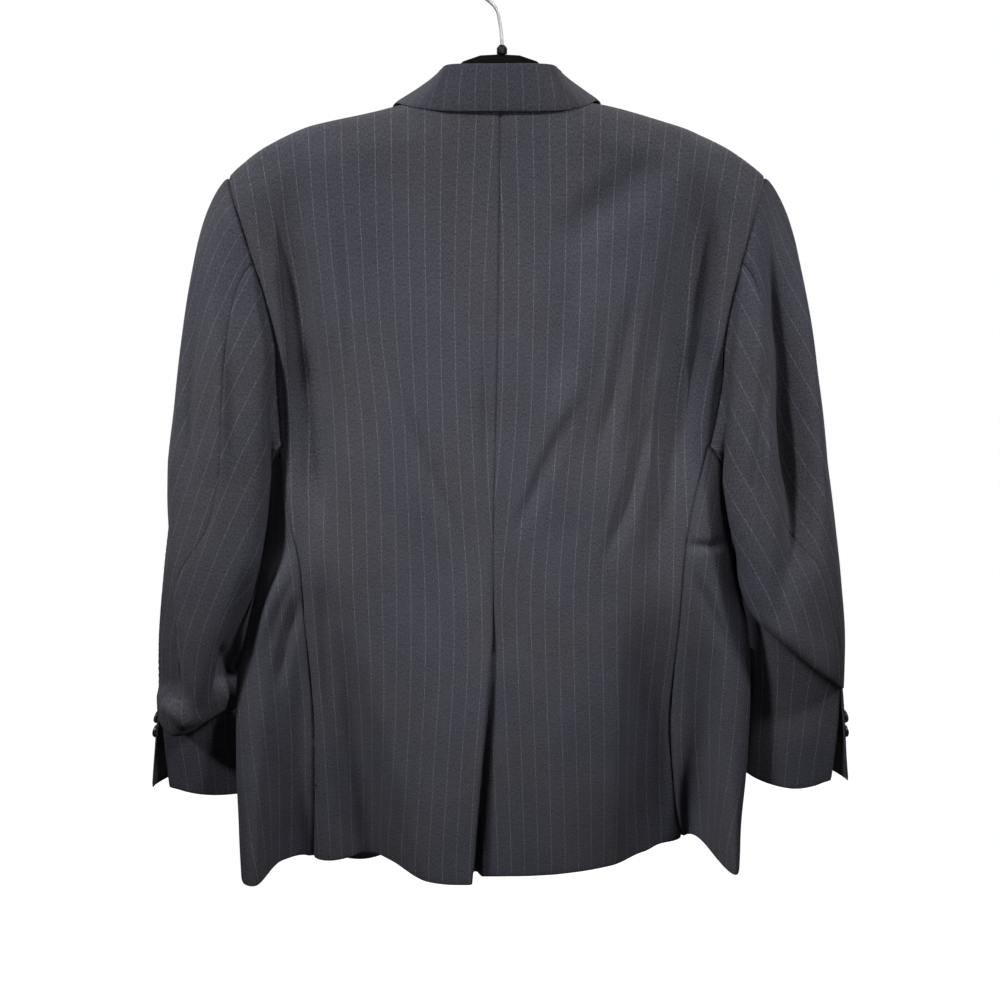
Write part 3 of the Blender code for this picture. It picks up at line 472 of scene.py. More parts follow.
def front_row(side, stations, t):
    """A row of a front: stations run from its inner edge to its outer edge."""
    x_out, y_out, z_out = front_outer(side, t)
    neck = BACK_EDGE[side].at("x", Z_TIP) * NECK_SHARE
    settled = clamp(t / FRONT_SETTLE)
    x_in = FRONT_EDGE.at("x", t) + (neck - FRONT_EDGE.at("x", 0)) * (1 - settled)
    z_in, y_in = FRONT_EDGE.at("z", t), FRONT_EDGE.at("y", t)
    depths = (y_in, y_in, FRONT_MIDDLE[side].at("y", t), y_out)
    tip_y, crest = TOP_EDGE.at("y", 1.0), crest_share(t)
    drop = FRONT_DROP[side] * clamp((t - DROP_START) / (1 - DROP_START)) ** 2
    lap = LAP_LIFT * clamp((t - LAP_START) / LAP_GROWTH) if side == LEFT else 0.0
    row = []
    for u in stations:
        top = top_edge(side, mix(NECK_SHARE, 1.0, u))
        z = mix(top, mix(z_in, z_out, u), settled)
        z -= drop * hump((u - DROP_MIDDLE) / DROP_WIDTH)
        y = smooth_at((0.0, FLAT_EDGE, 0.5, 1.0), depths, u) - lap * hump(u / LAP_WIDTH)
        row.append(Vector((side * mix(x_in, x_out, u), mix(tip_y, y, crest), z)))
    return row


# ---------------------------------------------------------------- sleeve surface
SLEEVE = {
    LEFT: Table("row z_out z_in x_out y_out x_in x_ib y_back y_front sag seam", [
        (0, -465, -487, 334.5, -2, 237.5, 227.5, 52, -56, 0, 84),
        (1, -525, -528, 341, -1, 241.2, 234.5, 54, -56, 0, 76),
        (2, -590, -575, 352.5, -1, 252, 246, 54, -56, 0, 50),
        (3, -665, -648, 364.5, -2, 266.5, 277, 52, -56, 0, 40),
        (4, -744, -738, 371.5, -4, 282, 310, 44, -56, 12, 14),
        (5, -750, -742, 371.5, -10, 288, 300, 12, -57, 10, 12),
        (6, -772, -762, 373.5, -12, 283, 288, 0, -60, 3, 9),
        (7, -808, -806, 373.5, -13, 270, 276, -4, -64, 3, 8),
        (8, -849, -852, 373.5, -14, 264, 273, -6, -66, 7, 8),
    ]),
    RIGHT: Table("row z_out z_in x_out y_out x_in x_ib y_back y_front sag seam", [
        (0, -465, -487, 330, -2, 240, 219, 52, -56, 0, 84),
        (1, -525, -525, 341.5, -1, 246, 227.5, 54, -56, 0, 76),
        (2, -590, -562, 354, -1, 248, 240, 54, -56, 0, 50),
        (3, -650, -592, 363.5, -1, 250, 248, 52, -56, 3, 40),
        (4, -716, -614, 370, -4, 256, 261, 46, -56, 4, 14),
        (5, -724, -620, 372, -9, 264, 276, 10, -57, 4, 12),
        (6, -764, -690, 374.5, -12, 269, 280, -2, -60, 0, 9),
        (7, -804, -768, 374.5, -14, 269, 276, -5, -64, 8, 8),
        (8, -842, -826, 374, -16, 264, 273, -7, -66, 15, 8),
    ]),
}
LAST_RING = 8
RING_SPACING = 0.042     # the last two rings are about this far apart
HINDARM_ANGLE = 42       # angle round the armhole of the back seam's start
CORNER = 0.74            # how square a sleeve's section is
SAG_ANGLE = 75           # angle either side of the middle back in which a fold sags
VENT_FLARE = Table("row out", [(5.0, 0), (6.0, 5), (7.0, 11), (8.0, 18)])
FLARE_SHARE = 0.246      # share of the ring over which the vent's edge flares

# Way out of the armhole and way into the first ring, at its top and underarm.
CAP_OUT_TOP, CAP_OUT_UNDER = (0.038, -0.028), (0.007, 0.002)
CAP_OUT_SIDEWAYS = 0.013
CAP_IN_TOP, CAP_IN_UNDER = (-0.0165, 0.105), (0.0, 0.006)
CAP_NEAR, CAP_START = [0.002, 0.005, 0.010, 0.020, 0.035], 0.055


def armhole_loop(side):
    """The armhole's points, from the shoulder tip down the back and round."""
    back = [back_row(side, (1.0,), t)[0] for t in ARMHOLE_ROWS]
    under = side_row(side, [k / SIDE_STEPS for k in range(1, SIDE_STEPS)], T_UNDERARM)
    front = [front_row(side, (1.0,), t)[0] for t in reversed(ARMHOLE_ROWS[1:])]
    return back + under + front


def lengths_along(points):
    """Each point's distance from the first, along the line through them all."""
    done = [0.0]
    for a, b in zip(points, points[1:]):
        done.append(done[-1] + (b - a).length)
    return done


def ring(side, row, shares):
    """A sleeve ring, shares measured from the outer side by the back."""
    table = SLEEVE[side]
    size = {name: table.at(name, row) for name in table.names}
    natural = math.radians(HINDARM_ANGLE)
    x_out, x_in, x_ib = size["x_out"], size["x_in"], size["x_ib"]
    y_back, y_front = size["y_back"], size["y_front"]
    x_mid, y_mid, y_out = (x_out + x_in) / 2, (y_back + y_front) / 2, size["y_out"]
    stations = [
        (x_out, y_out),
        (mix(x_mid, x_out, CORNER), mix(y_out, y_back, CORNER)),
        (mix(x_ib, x_out, 0.48), y_back),
        (x_ib + 0.004, mix(y_mid, y_back, 0.80)),
        (x_in, mix(y_mid, y_front, 0.10)),
        (mix(x_mid, x_in, 0.95), mix(y_mid, y_front, 0.80)),
        (x_mid, y_front),
        (mix(x_mid, x_out, CORNER), mix(y_out, y_front, CORNER)),
    ]
    count = len(stations)
    keys = list(range(-2, count + 3))
    xs, ys = ([stations[k % count][axis] for k in keys] for axis in (0, 1))
    points = []
    for share in shares:
        angle = 2 * math.pi * share
        near_seam = (1 + math.cos(angle - natural)) / 2
        angle -= (natural - math.radians(size["seam"])) * near_seam
        place = (angle / (2 * math.pi) * count) % count
        z = mix(size["z_out"], size["z_in"], (1 - math.cos(angle)) / 2)
        turn = math.atan2(math.sin(angle - math.pi / 2), math.cos(angle - math.pi / 2))
        z -= size["sag"] * hump(turn / math.radians(SAG_ANGLE))
        points.append(Vector((
            side * smooth_at(keys, xs, place), smooth_at(keys, ys, place), z,
        )))
    return points


def cap_row(side, starts, ends, shares, s):
    """A row of the sleeve cap between the armhole and the first ring."""
    b = 1 - s
    row = []
    for start, end, share in zip(starts, ends, shares):
        angle = 2 * math.pi * share
        top = (1 + math.cos(angle)) / 2
        (x_out, z_out), (x_in, z_in) = (
            [mix(low, high, top) for low, high in zip(*pair)]
            for pair in ((CAP_OUT_UNDER, CAP_OUT_TOP), (CAP_IN_UNDER, CAP_IN_TOP))
        )
        leave = Vector((side * x_out, CAP_OUT_SIDEWAYS * math.sin(angle), z_out))
        arrive = Vector((side * x_in, 0.0, z_in))
        row.append(
            start * b ** 3 + (start + leave) * 3 * b * b * s
            + (end + arrive) * 3 * b * s * s + end * s ** 3
        )
    return row


def sleeve_rows(side):
    """All rows of a sleeve, each a closed ring, with their shares and ring numbers."""
    loop = armhole_loop(side)
    done = lengths_along(loop + loop[:1])
    shares = [length / done[-1] for length in done[:-1]]
    first = ring(side, 0, shares)
    cap_stations = [0.0] + CAP_NEAR + steps(CAP_START, 1.0, CAP_STEPS)
    rows = [cap_row(side, loop, first, shares, s) for s in cap_stations]
    stations = steps(0.0, LAST_RING, LAST_RING * RING_STEPS) + [LAST_RING]
    stations += [LAST_RING - gap / RING_SPACING for gap in NEAR_EDGE]
    stations = tidy_stations(stations)
    rows += [ring(side, station, shares) for station in stations]
    return rows, shares, [0.0] * len(cap_stations) + stations


# ---------------------------------------------------------------- creases
# Creases given one by one: three points (x, z) on the way down, half width, depth.
# A negative depth is a ridge.  The first ones cross the back of the armhole seams.
ARMHOLE_CREASES = [
    (232, -240, 216.5, -350, 217, -500, 9, 6),
    (204, -140, 184, -350, 178, -600, 36, 11),
    (-224, -260, -216, -380, -212, -500, 8, 5),
    (-208, -110, -182, -330, -166, -640, 42, 19),
]
BODY_CREASES = [
    # beside and along the left armhole
    (222, -185, 202, -268, 188, -380, 15, 7),
    (196, -300, 187, -428, 181, -560, 15, 7.5),
    (233, -190, 222, -235, 210, -290, 9, 3.5),
    # left waist and skirt
    (142, -190, 142, -303, 144, -430, 10, 2.6),
    (120, -330, 78, -448, 24, -580, 12, 2.4),
    (174, -530, 182, -648, 184, -780, 12, 3.6),
    (198, -580, 213, -780, 230, -1060, 20, 7.5),
    (176, -580, 163, -790, 138, -1060, 26, 6),
    (206, -550, 240, -626, 260, -690, 11, -5),
    (200, -590, 220, -648, 238, -725, 11, 5.5),
    # beside the centre seam
    (11, -300, 13, -400, 12, -510, 8, 2.8),
    # right shoulder blade and the long pulls to the waist
    (-175, -150, -116, -203, -40, -262, 30, 6.5),
    (-166, -200, -148, -331, -122, -520, 20, 7.5),
    (-134, -250, -112, -380, -90, -490, 14, 6),
    (-158, -380, -130, -490, -100, -590, 14, 6.8),
    (-92, -250, -78, -350, -50, -470, 24, -6),
    (-84, -375, -46, -460, -10, -550, 13, 4.2),
    # along the right armhole
    (-200, -190, -193, -310, -190, -470, 13, 7.5),
    (-219, -225, -208, -294, -202, -370, 8, -3.4),
    # right skirt and side
    (-178, -580, -184, -800, -192, -1060, 22, 8),
    (-149, -580, -160, -760, -162, -1000, 38, 16),
    (-180, -549, -214, -552, -248, -545, 9, 4.2),
    (-212, -640, -222, -780, -228, -1000, 26, 8),
    (-188, -565, -219, -626, -250, -690, 11, 4.2),
]
SLEEVE_CREASES = [
    (284, -260, 301, -390, 312, -520, 13, 7),
    (270, -280, 267, -379, 272, -490, 14, -5),
    (350, -712, 330, -738, 306, -735, 14, -5),
    (246, -560, 273, -650, 302, -730, 13, 12),
    (344, -480, 340, -610, 326, -730, 13, 7),
    (290, -640, 280, -690, 268, -735, 8, 7),
    (-250, -165, -276, -350, -300, -590, 30, 31),
    (-288, -340, -298, -490, -286, -650, 24, 16),
    (-257, -290, -252, -428, -250, -560, 10, 6),
    (-230, -268, -238, -288, -249, -308, 7, 2.4),
]
# The dark groove behind the lapping edge of the vent, on the right back only.
VENT_CREASES = [(4, -610, 26.8, -925, 47.8, -1220, 7.5, 10)]
# On all that faces the front.
FRONT_CREASES = [
    (150, -560, 80, -575, 20, -560, 12, 2.2),
    (160, -620, 90, -625, 30, -592, 10, 1.7),
    (170, -500, 110, -530, 60, -545, 12, 1.6),
    (120, -660, 105, -770, 112, -900, 24, 4.5),
    (185, -700, 180, -800, 186, -915, 18, 3.8),
    (150, -185, 120, -240, 112, -330, 12, 1.8),
    (190, -290, 172, -350, 166, -440, 12, 2.4),
    (-160, -545, -90, -560, -35, -555, 12, 2),
    (-150, -610, -80, -612, -28, -585, 10, 1.8),
    (-165, -480, -120, -512, -70, -530, 13, 1.5),
    (-118, -650, -124, -760, -108, -905, 22, 4),
    (-180, -690, -188, -790, -178, -900, 16, 4.2),
    (-145, -190, -125, -250, -118, -345, 13, 1.6),
    (-188, -300, -176, -370, -168, -450, 11, 2.2),
    (262, -270, 276, -350, 288, -450, 14, 3.4),
    (278, -560, 305, -585, 335, -575, 10, 3.4),
    (286, -625, 312, -640, 345, -618, 12, 4),
    (300, -700, 325, -705, 350, -690, 9, 2.6),
    (-258, -280, -268, -370, -286, -470, 15, 4),
    (-276, -545, -300, -566, -330, -560, 11, 3.2),
    (-280, -600, -308, -622, -345, -604, 12, 4.2),
    (-300, -672, -322, -680, -350, -662, 9, 2.8),
]
# Edges past which a sleeve's back falls away: three points (x, z) of a line, the side
# of it that falls, the width of the fall and its depth.
FALLS = [
    (333, -500, 327, -640, 316, -708, 1, 30, 22),
    (252, -590, 279, -650, 306, -708, -1, 22, 16),
]
CREASE_FADE = 0.40       # share of a crease's length over which each end fades
FALL_FADE_TOP, FALL_FADE_LOW = 2.2, 0.02
RIPPLE_SIZE, RIPPLE_DEPTH = 0.055, 0.0006     # faint unevenness of hung cloth


class Crease:
    """A soft trough along three points, deepest along its middle."""

    def __init__(self, row):
        x1, z1, x2, z2, x3, z3, self.wide, self.deep = thousandths(row)
        self.points = [(x1, z1), (x2, z2), (x3, z3)]
        self.lengths = [math.dist(a, b) for a, b in zip(self.points, self.points[1:])]
        xs, zs = (x1, x2, x3), (z1, z2, z3)
        self.low = (min(xs) - self.wide, min(zs) - self.wide)
        self.high = (max(xs) + self.wide, max(zs) + self.wide)

    def depth(self, x, z):
        if not (self.low[0] < x < self.high[0] and self.low[1] < z < self.high[1]):
            return 0.0
        best, along, done = 1e9, 0.0, 0.0
        for (ax, az), (bx, bz), length in zip(self.points, self.points[1:], self.lengths):
            s = clamp(((x - ax) * (bx - ax) + (z - az) * (bz - az)) / length ** 2)
            away = math.hypot(x - mix(ax, bx, s), z - mix(az, bz, s))
            if away < best:
                best, along = away, done + s * length
            done += length
        share = along / sum(self.lengths)
        ends = soft_step(share / CREASE_FADE) * soft_step((1 - share) / CREASE_FADE)
        return self.deep * hump(best / self.wide) * ends


class Fall:
    """A line past which the cloth turns away, fading in from its top."""

    def __init__(self, row):
        *line, self.side, wide, deep = row
        x1, z1, x2, z2, x3, z3, self.wide, self.deep = thousandths(line + [wide, deep])
        self.heights = (z3, z2, z1)
        self.places = (x3, x2, x1)

    def depth(self, x, z):
        if x < 0 or not self.heights[0] - FALL_FADE_LOW < z < self.heights[2]:
            return 0.0
        away = (x - smooth_at(self.heights, self.places, z)) * self.side
        share = (self.heights[2] - z) / (self.heights[2] - self.heights[0])
        ends = soft_step(FALL_FADE_TOP * share)
        ends *= soft_step((z - self.heights[0] + FALL_FADE_LOW) / FALL_FADE_LOW)
        return self.deep * ends * soft_step(away / self.wide)


BODY_CREASES = [Crease(row) for row in BODY_CREASES + ARMHOLE_CREASES]
SLEEVE_CREASES = [Crease(row) for row in SLEEVE_CREASES + ARMHOLE_CREASES]
SLEEVE_CREASES += [Fall(row) for row in FALLS]
FRONT_CREASES = [Crease(row) for row in FRONT_CREASES]
VENT_CREASES = [Crease(row) for row in VENT_CREASES]


def crease_at(point, normal, creases):
    """How far cloth lies below its plain surface at a point."""
    facing = clamp(abs(normal.y) * 2.5)
    seen = creases if normal.y > 0 else FRONT_CREASES
    depth = sum(c.depth(point.x, point.z) for c in seen) * facing if facing > 0 else 0.0
    return depth + RIPPLE_DEPTH * noise.noise(point / RIPPLE_SIZE)


# ---------------------------------------------------------------- cloth walls
SEAM = (0.0014, 0.0019)          # depth and half width of a pressed seam
ARMHOLE_SEAM = (0.0034, 0.0020)
CENTRE_SEAM = (0.0017, 0.0015)
SIDE_SEAM = (0.0022, 0.0018)
SLEEVE_SEAM = (0.0006, 0.0020)
TURNED_EDGE = (0.0006, 0.0026)   # hems and other free edges
SEAM_UNEVEN, SEAM_RATE = 0.35, 90            # how unevenly seams lie, and how often
INWARDS = {"top": (1, 0), "low": (-1, 0), "first": (0, 1), "last": (0, -1)}


class Panel:
    """A cloth piece: a grid of points, its grain and the way it faces."""

    def __init__(self, name, points, centres, grain, creases, edges):
        self.name, self.points, self.centres, self.grain = name, points, centres, grain
        self.creases, self.edges = creases, edges
        self.rows, self.columns = len(points), len(points[0])
        self.face_out()

    def at(self, i, j):
        """The point at a place, or the nearest one of the grid."""
        return self.points[min(max(i, 0), self.rows - 1)][min(max(j, 0), self.columns - 1)]

    def face_out(self):
        """Work out the outward direction of every point."""
        self.normals = []
        for i in range(self.rows):
            line = []
            for j in range(self.columns):
                across = self.at(i, j + 1) - self.at(i, j - 1)
                down = self.at(i + 1, j) - self.at(i - 1, j)
                line.append(across.cross(down).normalized())
            self.normals.append(line)
        facing = sum(
            self.normals[i][j].dot(self.points[i][j] - self.centres[i])
            for i in range(0, self.rows, 3) for j in range(0, self.columns, 3)
        )
        if facing < 0:
            self.normals = [[-n for n in line] for line in self.normals]

    def edge(self, name):
        return {
            "top": [(0, j) for j in range(self.columns)],
            "low": [(self.rows - 1, j) for j in range(self.columns)],
            "first": [(i, 0) for i in range(self.rows)],
            "last": [(i, self.columns - 1) for i in range(self.rows)],
        }[name]

    def distances(self, name):
        """Each point's distance from one edge, along the cloth."""
        sideways = name in ("first", "last")
        lines = self.points if sideways else list(zip(*self.points))
        if name in ("first", "top"):
            runs = [lengths_along(line) for line in lines]
        else:
            runs = [lengths_along(line[::-1])[::-1] for line in lines]
        return runs if sideways else list(zip(*runs))

    def press(self, depths):
        for line, normals, row in zip(self.points, self.normals, depths):
            line[:] = [p - n * depth for p, n, depth in zip(line, normals, row)]

    def press_edges(self):
        """Sink the cloth softly along its seams and turn its free edges in."""
        depths = [[0.0] * self.columns for _ in self.points]
        for name, (deep, wide) in self.edges.items():
            for row, line, distances in zip(depths, self.points, self.distances(name)):
                for j, (point, distance) in enumerate(zip(line, distances)):
                    if distance < 4 * wide:
                        uneven = 1 + SEAM_UNEVEN * noise.noise(point * SEAM_RATE)
                        row[j] += deep * uneven * math.exp(-((distance / wide) ** 2))
        self.press(depths)

    def lay_creases(self):
        self.press([
            [crease_at(p, n, self.creases) for p, n in zip(line, normals)]
            for line, normals in zip(self.points, self.normals)
        ])

    def draw_in(self):
        """Carry every edge a hair into its seam, so no light shows through."""
        moves = []
        for name, (down, across) in INWARDS.items():
            for i, j in self.edge(name):
                towards = self.at(i + down, j + across) - self.points[i][j]
                moves.append((i, j, towards.normalized() * EDGE_REACH))
        for i, j, move in moves:
            self.points[i][j] = self.points[i][j] - move

    def build(self, cloth, lining):
        """Make the wall: an outer skin, an inner skin and a rim between them."""
        verts, faces = [], []
        for sign in (0.5, -0.5):
            for i in range(self.rows):
                for j in range(self.columns):
                    rim = i in (0, self.rows - 1) or j in (0, self.columns - 1)
                    half = WALL * sign * (RIM_SHARE if rim else 1.0)
                    verts.append(self.points[i][j] + self.normals[i][j] * half)
        inner = self.rows * self.columns
        for i in range(self.rows - 1):
            for j in range(self.columns - 1):
                a, b = i * self.columns + j, (i + 1) * self.columns + j
                faces.append((a, a + 1, b + 1, b))
        skin = len(faces)
        faces += [tuple(inner + k for k in reversed(face)) for face in faces]
        rim = self.edge("top") + self.edge("last")[1:]
        rim += self.edge("low")[-2::-1] + self.edge("first")[-2:0:-1]
        for (i, j), (k, m) in zip(rim, rim[1:] + rim[:1]):
            a, b = i * self.columns + j, k * self.columns + m
            faces.append((a, inner + a, inner + b, b))
        corner, ahead, _, beside = (verts[k] for k in faces[0])
        if (ahead - corner).cross(beside - corner).dot(self.normals[0][0]) < 0:
            faces = [tuple(reversed(face)) for face in faces]
        data = bpy.data.meshes.new(self.name)
        data.from_pydata(verts, [], faces)
        grain = [g for line in self.grain for g in line] * 2
        layer = data.uv_layers.new(name="grain")
        for loop in data.loops:
            layer.data[loop.index].uv = grain[loop.vertex_index]
        data.materials.append(cloth)
        data.materials.append(lining)
        data.polygons.foreach_set("material_index", [
            1 if skin <= k < 2 * skin else 0 for k in range(len(faces))
        ])
        data.shade_smooth()
        data.set_sharp_from_angle(angle=math.radians(60))
        data.update()
        return add_object(self.name + "_cloth", data)


def join_normals(first, first_places, second, second_places):
    """Give both sides of a seam the same outward direction, so walls mitre."""
    for (i, j), (k, m) in zip(first_places, second_places):
        shared = first.normals[i][j] + second.normals[k][m]
        if shared.length > 0.2:
            first.normals[i][j] = shared.normalized()
            second.normals[k][m] = shared.normalized()


# ---------------------------------------------------------------- grain
STRIPE_PITCH = 0.0144
SEEN_FROM, SEEN_AT = 1.10, 0.052     # the stripes' places were measured on this plane

# Where five of the back's stripes lie at each height, as distances from the centre.
STRIPES = {
    LEFT: ((1, 4, 7, 10, 13), [
        (-140, 21, 67, 112, 157, 202), (-230, 26, 69, 113, 157, 197),
        (-330, 29, 69, 112, 151, 191), (-420, 27, 69, 104, 147, 189),
        (-500, 24, 65, 103, 146, 190), (-590, 19, 61, 104, 147, 189),
        (-680, 19, 62, 106, 145, 187), (-780, 26, 69, 111, 145, 184),
        (-900, 33, 77, 120, 147, 183),
    ]),
    RIGHT: ((1, 3, 6, 9, 12), [
        (-140, 14, 44, 90, 134, 178), (-230, 17, 46, 90, 132, 173),
        (-330, 17, 45, 88, 127, 167), (-420, 15, 43, 83, 124, 161),
        (-500, 9, 37, 78, 120, 160), (-590, 2, 31, 74, 117, 160),
        (-680, 4, 33, 76, 120, 161), (-780, 8, 37, 80, 124, 162),
        (-900, 12, 41, 85, 125, 165),
    ]),
}

# A sleeve's level sections: where their middle lies, and their half sizes.
SLEEVE_SECTION = {
    LEFT: Table("z x wide y deep", [
        (-200, 262, 28, 0, 22), (-240, 268, 40, -1, 36), (-300, 272, 48, -2, 44),
        (-380, 278, 50, -2, 50), (-475, 290, 44.5, -2, 54), (-582, 305, 47, -1, 55),
        (-656, 319, 45, -2, 54), (-735, 329, 43, -6, 50), (-775, 328, 46, -30, 32),
        (-850, 319, 55, -36, 30),
    ]),
    RIGHT: Table("z x wide y deep", [
        (-200, 258, 28, 0, 22), (-240, 264, 40, -1, 36), (-300, 268, 48, -2, 44),
        (-380, 274, 50, -2, 50), (-475, 285, 45, -2, 54), (-582, 304, 50, -1, 55),
        (-656, 316, 47, -2, 54), (-700, 322, 48, -6, 50), (-750, 326, 49, -30, 32),
        (-842, 319, 55, -36, 30),
    ]),
}
CUFF_FROM, CUFF_WHOLE = 4.0, 1.2     # rings over which the grain turns to the cuff's

# The sleeves hang turned forwards, so their stripes lean.
LEAN = Table("z shift", [
    (-190, 0), (-330, 37), (-450, 74), (-560, 101), (-650, 122), (-720, 126), (-860, 127),
])


def back_grain(side, points):
    """The grain of a back, counted in stripes from the centre where they were seen."""
    numbers, rows = STRIPES[side]
    table = Table("z " + " ".join("k%d" % n for n in numbers), rows)

    def across(x, y, z):
        seen = x * (SEEN_FROM - SEEN_AT) / (SEEN_FROM - y)
        places = [table.at(name, z) for name in table.names]
        k = 0
        while k < len(places) - 2 and seen > places[k + 1]:
            k += 1
        share = (seen - places[k]) / (places[k + 1] - places[k])
        return mix(numbers[k], numbers[k + 1], share)

    return [
        [(side * across(side * p.x, p.y, p.z) * STRIPE_PITCH, -p.z) for p in line]
        for line in points
    ]


def across_grain(points, start, side=0):
    """Grain measured along each row, from its first point or from the middle."""
    return [
        [(start + side * line[0].x + done, -p.z) for p, done in zip(line, lengths_along(line))]
        for line in points
    ]


def sleeve_grain(side, point, turn, place):
    """Grain round a sleeve, as if each level section were a plain oval."""
    names = ("x", "wide", "y", "deep")
    section = {n: SLEEVE_SECTION[side].at(n, point.z) for n in names}
    cuffed = clamp((place - CUFF_FROM) / CUFF_WHOLE)
    if cuffed:
        cuff = {n: SLEEVE_SECTION[side].columns[n][0] for n in names}
        section = {n: mix(section[n], cuff[n], cuffed) for n in names}
    wide, deep = section["wide"], section["deep"]
    angle = math.atan2((point.y - section["y"]) / deep, (side * point.x - section["x"]) / wide)
    angle += 2 * math.pi * round((turn - angle) / (2 * math.pi))
    mean = math.sqrt((wide ** 2 + deep ** 2) / 2)
    uneven = (deep ** 2 - wide ** 2) / (8 * mean)
    around = mean * angle + uneven * math.sin(2 * angle)
    return (around + LEAN.at("shift", point.z), -point.z)


# ---------------------------------------------------------------- pieces of the body
def body_panel(name, side, points, grain, edges, creases=()):
    centres = [Vector((0.0, -0.01, line[0].z)) for line in points]
    return Panel(name + "_" + NAMES[side], points, centres, grain, list(creases), edges)


def back_panel(side):
    points = [back_row(side, columns(BACK_STEPS, BACK_WIDTH), t) for t in ROWS]
    edges = {"first": CENTRE_SEAM, "last": SIDE_SEAM, "low": TURNED_EDGE, "top": SEAM}
    creases = BODY_CREASES + (VENT_CREASES if side == RIGHT else [])
    return body_panel("back", side, points, back_grain(side, points), edges, creases)


def front_panel(side):
    points = [front_row(side, columns(FRONT_STEPS, FRONT_WIDTH), t) for t in ROWS]
    edges = {"first": TURNED_EDGE, "last": ARMHOLE_SEAM, "low": TURNED_EDGE, "top": SEAM}
    return body_panel("front", side, points, across_grain(points, 0.0, side), edges)


def side_panel(side):
    stations = [k / SIDE_STEPS for k in range(SIDE_STEPS + 1)]
    points = [side_row(side, stations, t) for t in ROWS[len(ARMHOLE_ROWS) - 1:]]
    edges = {"first": SIDE_SEAM, "last": SEAM, "low": TURNED_EDGE, "top": SEAM}
    return body_panel("side", side, points, across_grain(points, 0.005), edges, BODY_CREASES)


def sleeve_panels(side):
    """The under sleeve and the top sleeve, cut from the same rings."""
    rings, shares, places = sleeve_rows(side)
    count = len(shares)
    last_back = len(ARMHOLE_ROWS) - 1
    hindarm = row_index(T_HINDARM)
    forearm = last_back + SIDE_STEPS + (last_back - row_index(T_FOREARM))
    centres = [sum(line, Vector()) / count for line in rings]
    edges = {"top": ARMHOLE_SEAM, "first": SLEEVE_SEAM, "last": SLEEVE_SEAM, "low": TURNED_EDGE}

    def cut(name, span, offset):
        points = [[line[j % count].copy() for j in span] for line in rings]
        grain = []
        for line, place in zip(points, places):
            row = []
            for point, j in zip(line, span):
                whole = 2 * math.pi * (j // count)
                turn = 2 * math.pi * shares[j % count] + whole
                across, along = sleeve_grain(side, point, turn, place)
                row.append((across + offset, along))
            grain.append(row)
        return Panel(name + NAMES[side], points, centres, grain, SLEEVE_CREASES, edges)

    under = cut("sleeve_under_", range(hindarm, forearm + 1), 0.004)
    wrapped = range(forearm - count, hindarm + 1)
    top = cut("sleeve_top_", wrapped, 0.0)
    for line, place in zip(top.points, places):
        flare = VENT_FLARE.at("out", place)
        for point, j in zip(line, wrapped):
            away = shares[hindarm] - (shares[j % count] - (1 if j < 0 else 0))
            point.x += side * flare * hump(away / FLARE_SHARE)
    top.face_out()
    return under, top, hindarm, forearm


def sew_sleeve(body, under, top, hindarm, forearm):
    """Share outward directions round the armhole and along both sleeve seams."""
    back, under_arm, front = body
    rows = range(len(ARMHOLE_ROWS))
    loop = [(back, (i, back.columns - 1)) for i in rows]
    loop += [(under_arm, (0, j)) for j in range(1, SIDE_STEPS)]
    loop += [(front, (i, front.columns - 1)) for i in reversed(rows[1:])]
    for k, (panel, place) in enumerate(loop):
        if hindarm <= k <= forearm:
            join_normals(panel, [place], under, [(0, k - hindarm)])
        if k >= forearm or k <= hindarm:
            join_normals(panel, [place], top, [(0, (k - forearm) % len(loop))])
    join_normals(under, under.edge("first")[1:], top, top.edge("last")[1:])
    join_normals(under, under.edge("last")[1:], top, top.edge("first")[1:])


def sew_body(back, side_body, front):
    lower = len(ARMHOLE_ROWS) - 1
    join_normals(back, back.edge("last")[lower:], side_body, side_body.edge("first"))
    join_normals(front, front.edge("last")[lower:], side_body, side_body.edge("last"))


def sew_centre_back(left, right):
    places = [(i, 0) for i, t in enumerate(ROWS) if mix(Z_NECK, Z_HEM, t) > VENT_TOP]
    join_normals(left, places, right, places)


# ---------------------------------------------------------------- collar and lapels
# Neck seam (s), fold (k) and edge (g) of the collar, from the middle to its point.
COLLAR = Table("station xs ys zs xk yk zk xg yg zg", [
    (0, 0, 44, -127.8, 0, 47, -96.5, 0, 51.2, -135.8),
    (250, 44, 40.5, -127.2, 43, 41, -96.5, 51, 47.4, -135),
    (400, 70, 23, -125, 53, 23, -98.5, 76, 31, -130),
    (550, 85.5, 2, -123.8, 58.5, -3, -102, 92, -3, -123.2),
    (750, 85, -29, -134, 65, -37, -118, 99, -37, -133.5),
    (1000, 77.5, -43.5, -165, 75.5, -49, -162.5, 112, -49.5, -178),
])
COLLAR_COLUMNS = 150
COLLAR_ROWS = 8          # rows between two parts of the collar's section
COLLAR_FOLD = 0.0022     # half the thickness of the turned fold
COLLAR_LEFT_REACH, COLLAR_LEFT_DROP = 0.0065, 0.0025   # its left point lies lower
COLLAR_STRIPE = 0.0065   # the first stripe's distance from the middle


